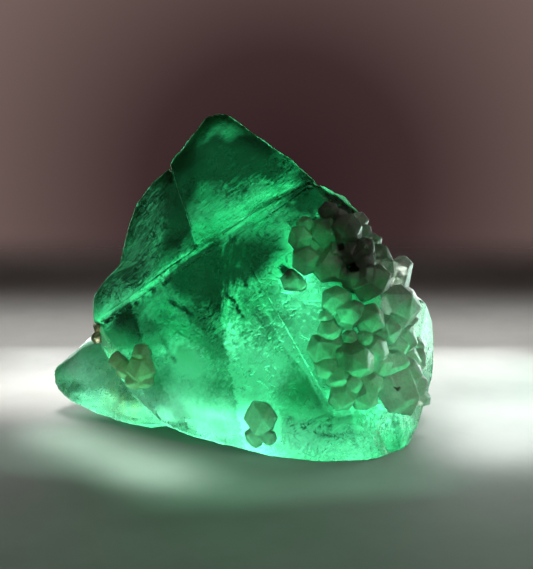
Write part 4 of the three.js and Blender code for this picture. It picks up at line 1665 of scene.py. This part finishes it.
@dataclass(frozen=True)
class Lamp:
    """A soft rectangular lamp that the camera doesn't see.

    Attributes:
        name: Name of the lamp.
        place: Its middle.
        aim: Point that it faces.
        size: Width and height.
        power: Power in watts.
        spread: Angle of its beam, in degrees.
        tint: Colour of the light.
        glints: Whether shiny faces mirror it.
    """

    name: str
    place: Point
    aim: Point
    size: Span
    power: float
    spread: float
    tint: Point
    glints: bool = True

    def build(self) -> None:
        """Adds the lamp to the scene."""
        light = bpy.data.lights.new(self.name, "AREA")
        light.shape = "RECTANGLE"
        light.size, light.size_y = (length * MM for length in self.size)
        light.energy = self.power
        light.spread = math.radians(self.spread)
        light.color = self.tint
        lamp = new_object(self.name, light)
        lamp.location = Vector(self.place) * MM
        face_along(lamp, Vector(self.aim) - Vector(self.place))
        lamp.visible_camera = False
        lamp.visible_glossy = self.glints


def face_along(thing: bpy.types.Object, way: Vector) -> None:
    """Turns a lamp or a camera so that it faces along a direction."""
    thing.rotation_mode = "QUATERNION"
    thing.rotation_quaternion = way.to_track_quat("-Z", "Y")


MATT = False
LAMPS = (
    # the lit floor behind, the glow through the stone and the lit floor at its sides
    Lamp("floor_lamp", (4, 50, 74), (4, 50, 0), (320, 54), 0.046, 50, (1.0, 0.99, 0.97)),
    Lamp("back_lamp", (4, 50, 18), (4, 0, 12), (104, 26), 0.03, 130, (0.97, 1.0, 1.0)),
    Lamp("right_lamp", (75, -2, 52), (75, -2, 0), (84, 30), 0.0085, 24, (0.96, 0.99, 1.0)),
    Lamp("left_lamp", (-64, 18, 52), (-64, 18, 0), (84, 24), 0.006, 26, (1.0, 0.99, 0.95)),
    Lamp("right_back", (70, 26, 14), (28, 0, 12), (40, 26), 0.0125, 120, (0.7, 1.0, 0.86)),
    # the green light that the stone spills on the floor
    Lamp("spill_lamp", (10, -31, 10), (8, -19, 0), (44, 5), 0.0007, 150, (0.4, 1.0, 0.66), MATT),
    Lamp("front_spill", (8, -50, 16), (8, -52, 0), (100, 30), 0.0008, 150, (0.36, 1.0, 0.62), MATT),
    Lamp("foot_lamp", (-21, -14, 18), (-20, -13, 0), (34, 6), 0.0011, 60, (0.74, 1.0, 0.85), MATT),
    Lamp("left_spill", (-22, -24, 10), (-17, -9, 0), (40, 5), 0.0007, 150, (0.55, 1.0, 0.75), MATT),
    # the weak light from the front
    Lamp("key_lamp", (280, -190, 330), (0, 0, 20), (160, 160), 0.008, 34, (1.0, 0.95, 0.92)),
    Lamp("quartz_fill", (50, -70, 34), (23, -9, 12), (10, 10), 1.8e-4, 16, (0.75, 1.0, 0.74), MATT),
)


@dataclass
class Studio:
    """A pale floor swept up behind, soft lights and the camera.

    Attributes:
        target: Point that the camera looks at.
        lean: Camera's height over the level, in degrees.
        distance: Camera's distance from the target.
        lens: Focal length of the lens.
        sensor: Width of the sensor.
        sight: Nearest and farthest distance that the camera sees, in metres.
        past: Direction from the camera past the specimen.
        shades: Distance of direction and colour of the room's light from the middle out.
        floor_x: Left and right end of the floor.
        floor_y: Near end of the floor, and where it bends.
        floor_z: Height of the floor, just under the specimen's foot.
        bend: Radius of the floor's bend.
        lamps: The lamps.
    """

    target: Point = (4.2, -1.9, 24.1)
    lean: float = 13.0
    distance: float = 212.2
    lens: float = 85.0
    sensor: float = 36.0
    sight: Span = (0.005, 10.0)
    past: Point = (0.01, 0.99, -0.157)
    shades: tuple[tuple[float, Colour], ...] = (
        (0.0, colour(0.03, 0.012, 0.014)), (0.1, colour(0.05, 0.026, 0.027)),
        (0.24, colour(0.17, 0.115, 0.105)), (0.5, colour(0.034, 0.022, 0.022)),
    )
    floor_x: Span = (-1400.0, 1400.0)
    floor_y: Span = (-900.0, 100.0)
    floor_z: float = -0.03
    bend: float = 40.0
    lamps: tuple[Lamp, ...] = LAMPS

    def sweep(self) -> bpy.types.Object:
        """The floor, bent up a little at its far end, where it fades into the dim room.

        The profile runs level to the bend and up an eighth of a circle; it is carried along X.

        Returns:
            The sheet.
        """
        flats, turns, columns = 30, 17, 9
        level = np.linspace(*self.floor_y, flats)
        arc = np.linspace(0.0, math.pi / 4.0, turns)[1:]
        y = np.concatenate([level, self.floor_y[1] + self.bend * np.sin(arc)])
        z = np.concatenate([np.zeros(len(level)), self.bend * (1.0 - np.cos(arc))])
        x = np.tile(np.linspace(*self.floor_x, columns), len(y))
        y, z = np.repeat(y, columns), np.repeat(z + self.floor_z, columns)
        grid = np.stack([x, y, z], axis=1)
        first = np.arange(len(grid) - columns)
        first = first[first % columns < columns - 1]
        faces = np.stack([first, first + 1, first + 1 + columns, first + columns], axis=1)
        mesh = bpy.data.meshes.new("floor")
        mesh.from_pydata((grid * MM).tolist(), [], faces.tolist())
        mesh.shade_smooth()
        sheet = new_object("floor", mesh)
        mesh.materials.append(PAPER.material())
        return sheet

    def room(self) -> bpy.types.World:
        """The dim reddish room: darkest behind the specimen, paler round it.

        The colour follows the distance between a ray's direction and the direction from the
        camera past the specimen.

        Returns:
            The world.
        """
        world = bpy.data.worlds.new("room")
        world.use_nodes = True
        wire = Wiring(world.node_tree)
        ray = wire.add("ShaderNodeTexCoord").outputs["Generated"]
        away = wire.add("ShaderNodeVectorMath", {0: ray, 1: self.past}, operation="DISTANCE")
        ramp = wire.add("ShaderNodeValToRGB", {"Fac": away.outputs["Value"]})
        stops = ramp.color_ramp.elements
        for place, _ in self.shades[1:-1]:
            stops.new(place)
        for stop, (place, shade) in zip(stops, self.shades):
            stop.position, stop.color = place, shade
        wire.feed(world.node_tree.nodes["Background"].inputs["Color"], ramp.outputs["Color"])
        return world

    def camera(self) -> bpy.types.Object:
        """The camera, in front of the specimen and a little above it.

        Returns:
            The camera.
        """
        lens = bpy.data.cameras.new("camera")
        lens.lens, lens.sensor_width, lens.sensor_fit = self.lens, self.sensor, "AUTO"
        lens.clip_start, lens.clip_end = self.sight
        camera = new_object("camera", lens)
        back = Vector(direction(0.0, self.lean))
        camera.location = (Vector(self.target) + back * self.distance) * MM
        face_along(camera, -back)
        return camera

    def build(self) -> None:
        """Sets up the floor, the lamps, the dim room light and the camera."""
        scene = bpy.context.scene
        self.sweep()
        for lamp in self.lamps:
            lamp.build()
        scene.world = self.room()
        scene.camera = self.camera()
        scene.view_settings.view_transform = "Standard"


def main() -> None:
    """Builds every piece and the studio."""
    logging.basicConfig(level=logging.INFO, format="%(name)s %(message)s")
    cleavage_pattern()
    frosting_pattern()
    FluoriteBody().build()
    ground = Ground.of_node("fluorite")
    for cluster in CLUSTERS:
        cluster.build(ground)
    Studio().build()


if __name__ == "__main__":
    main()
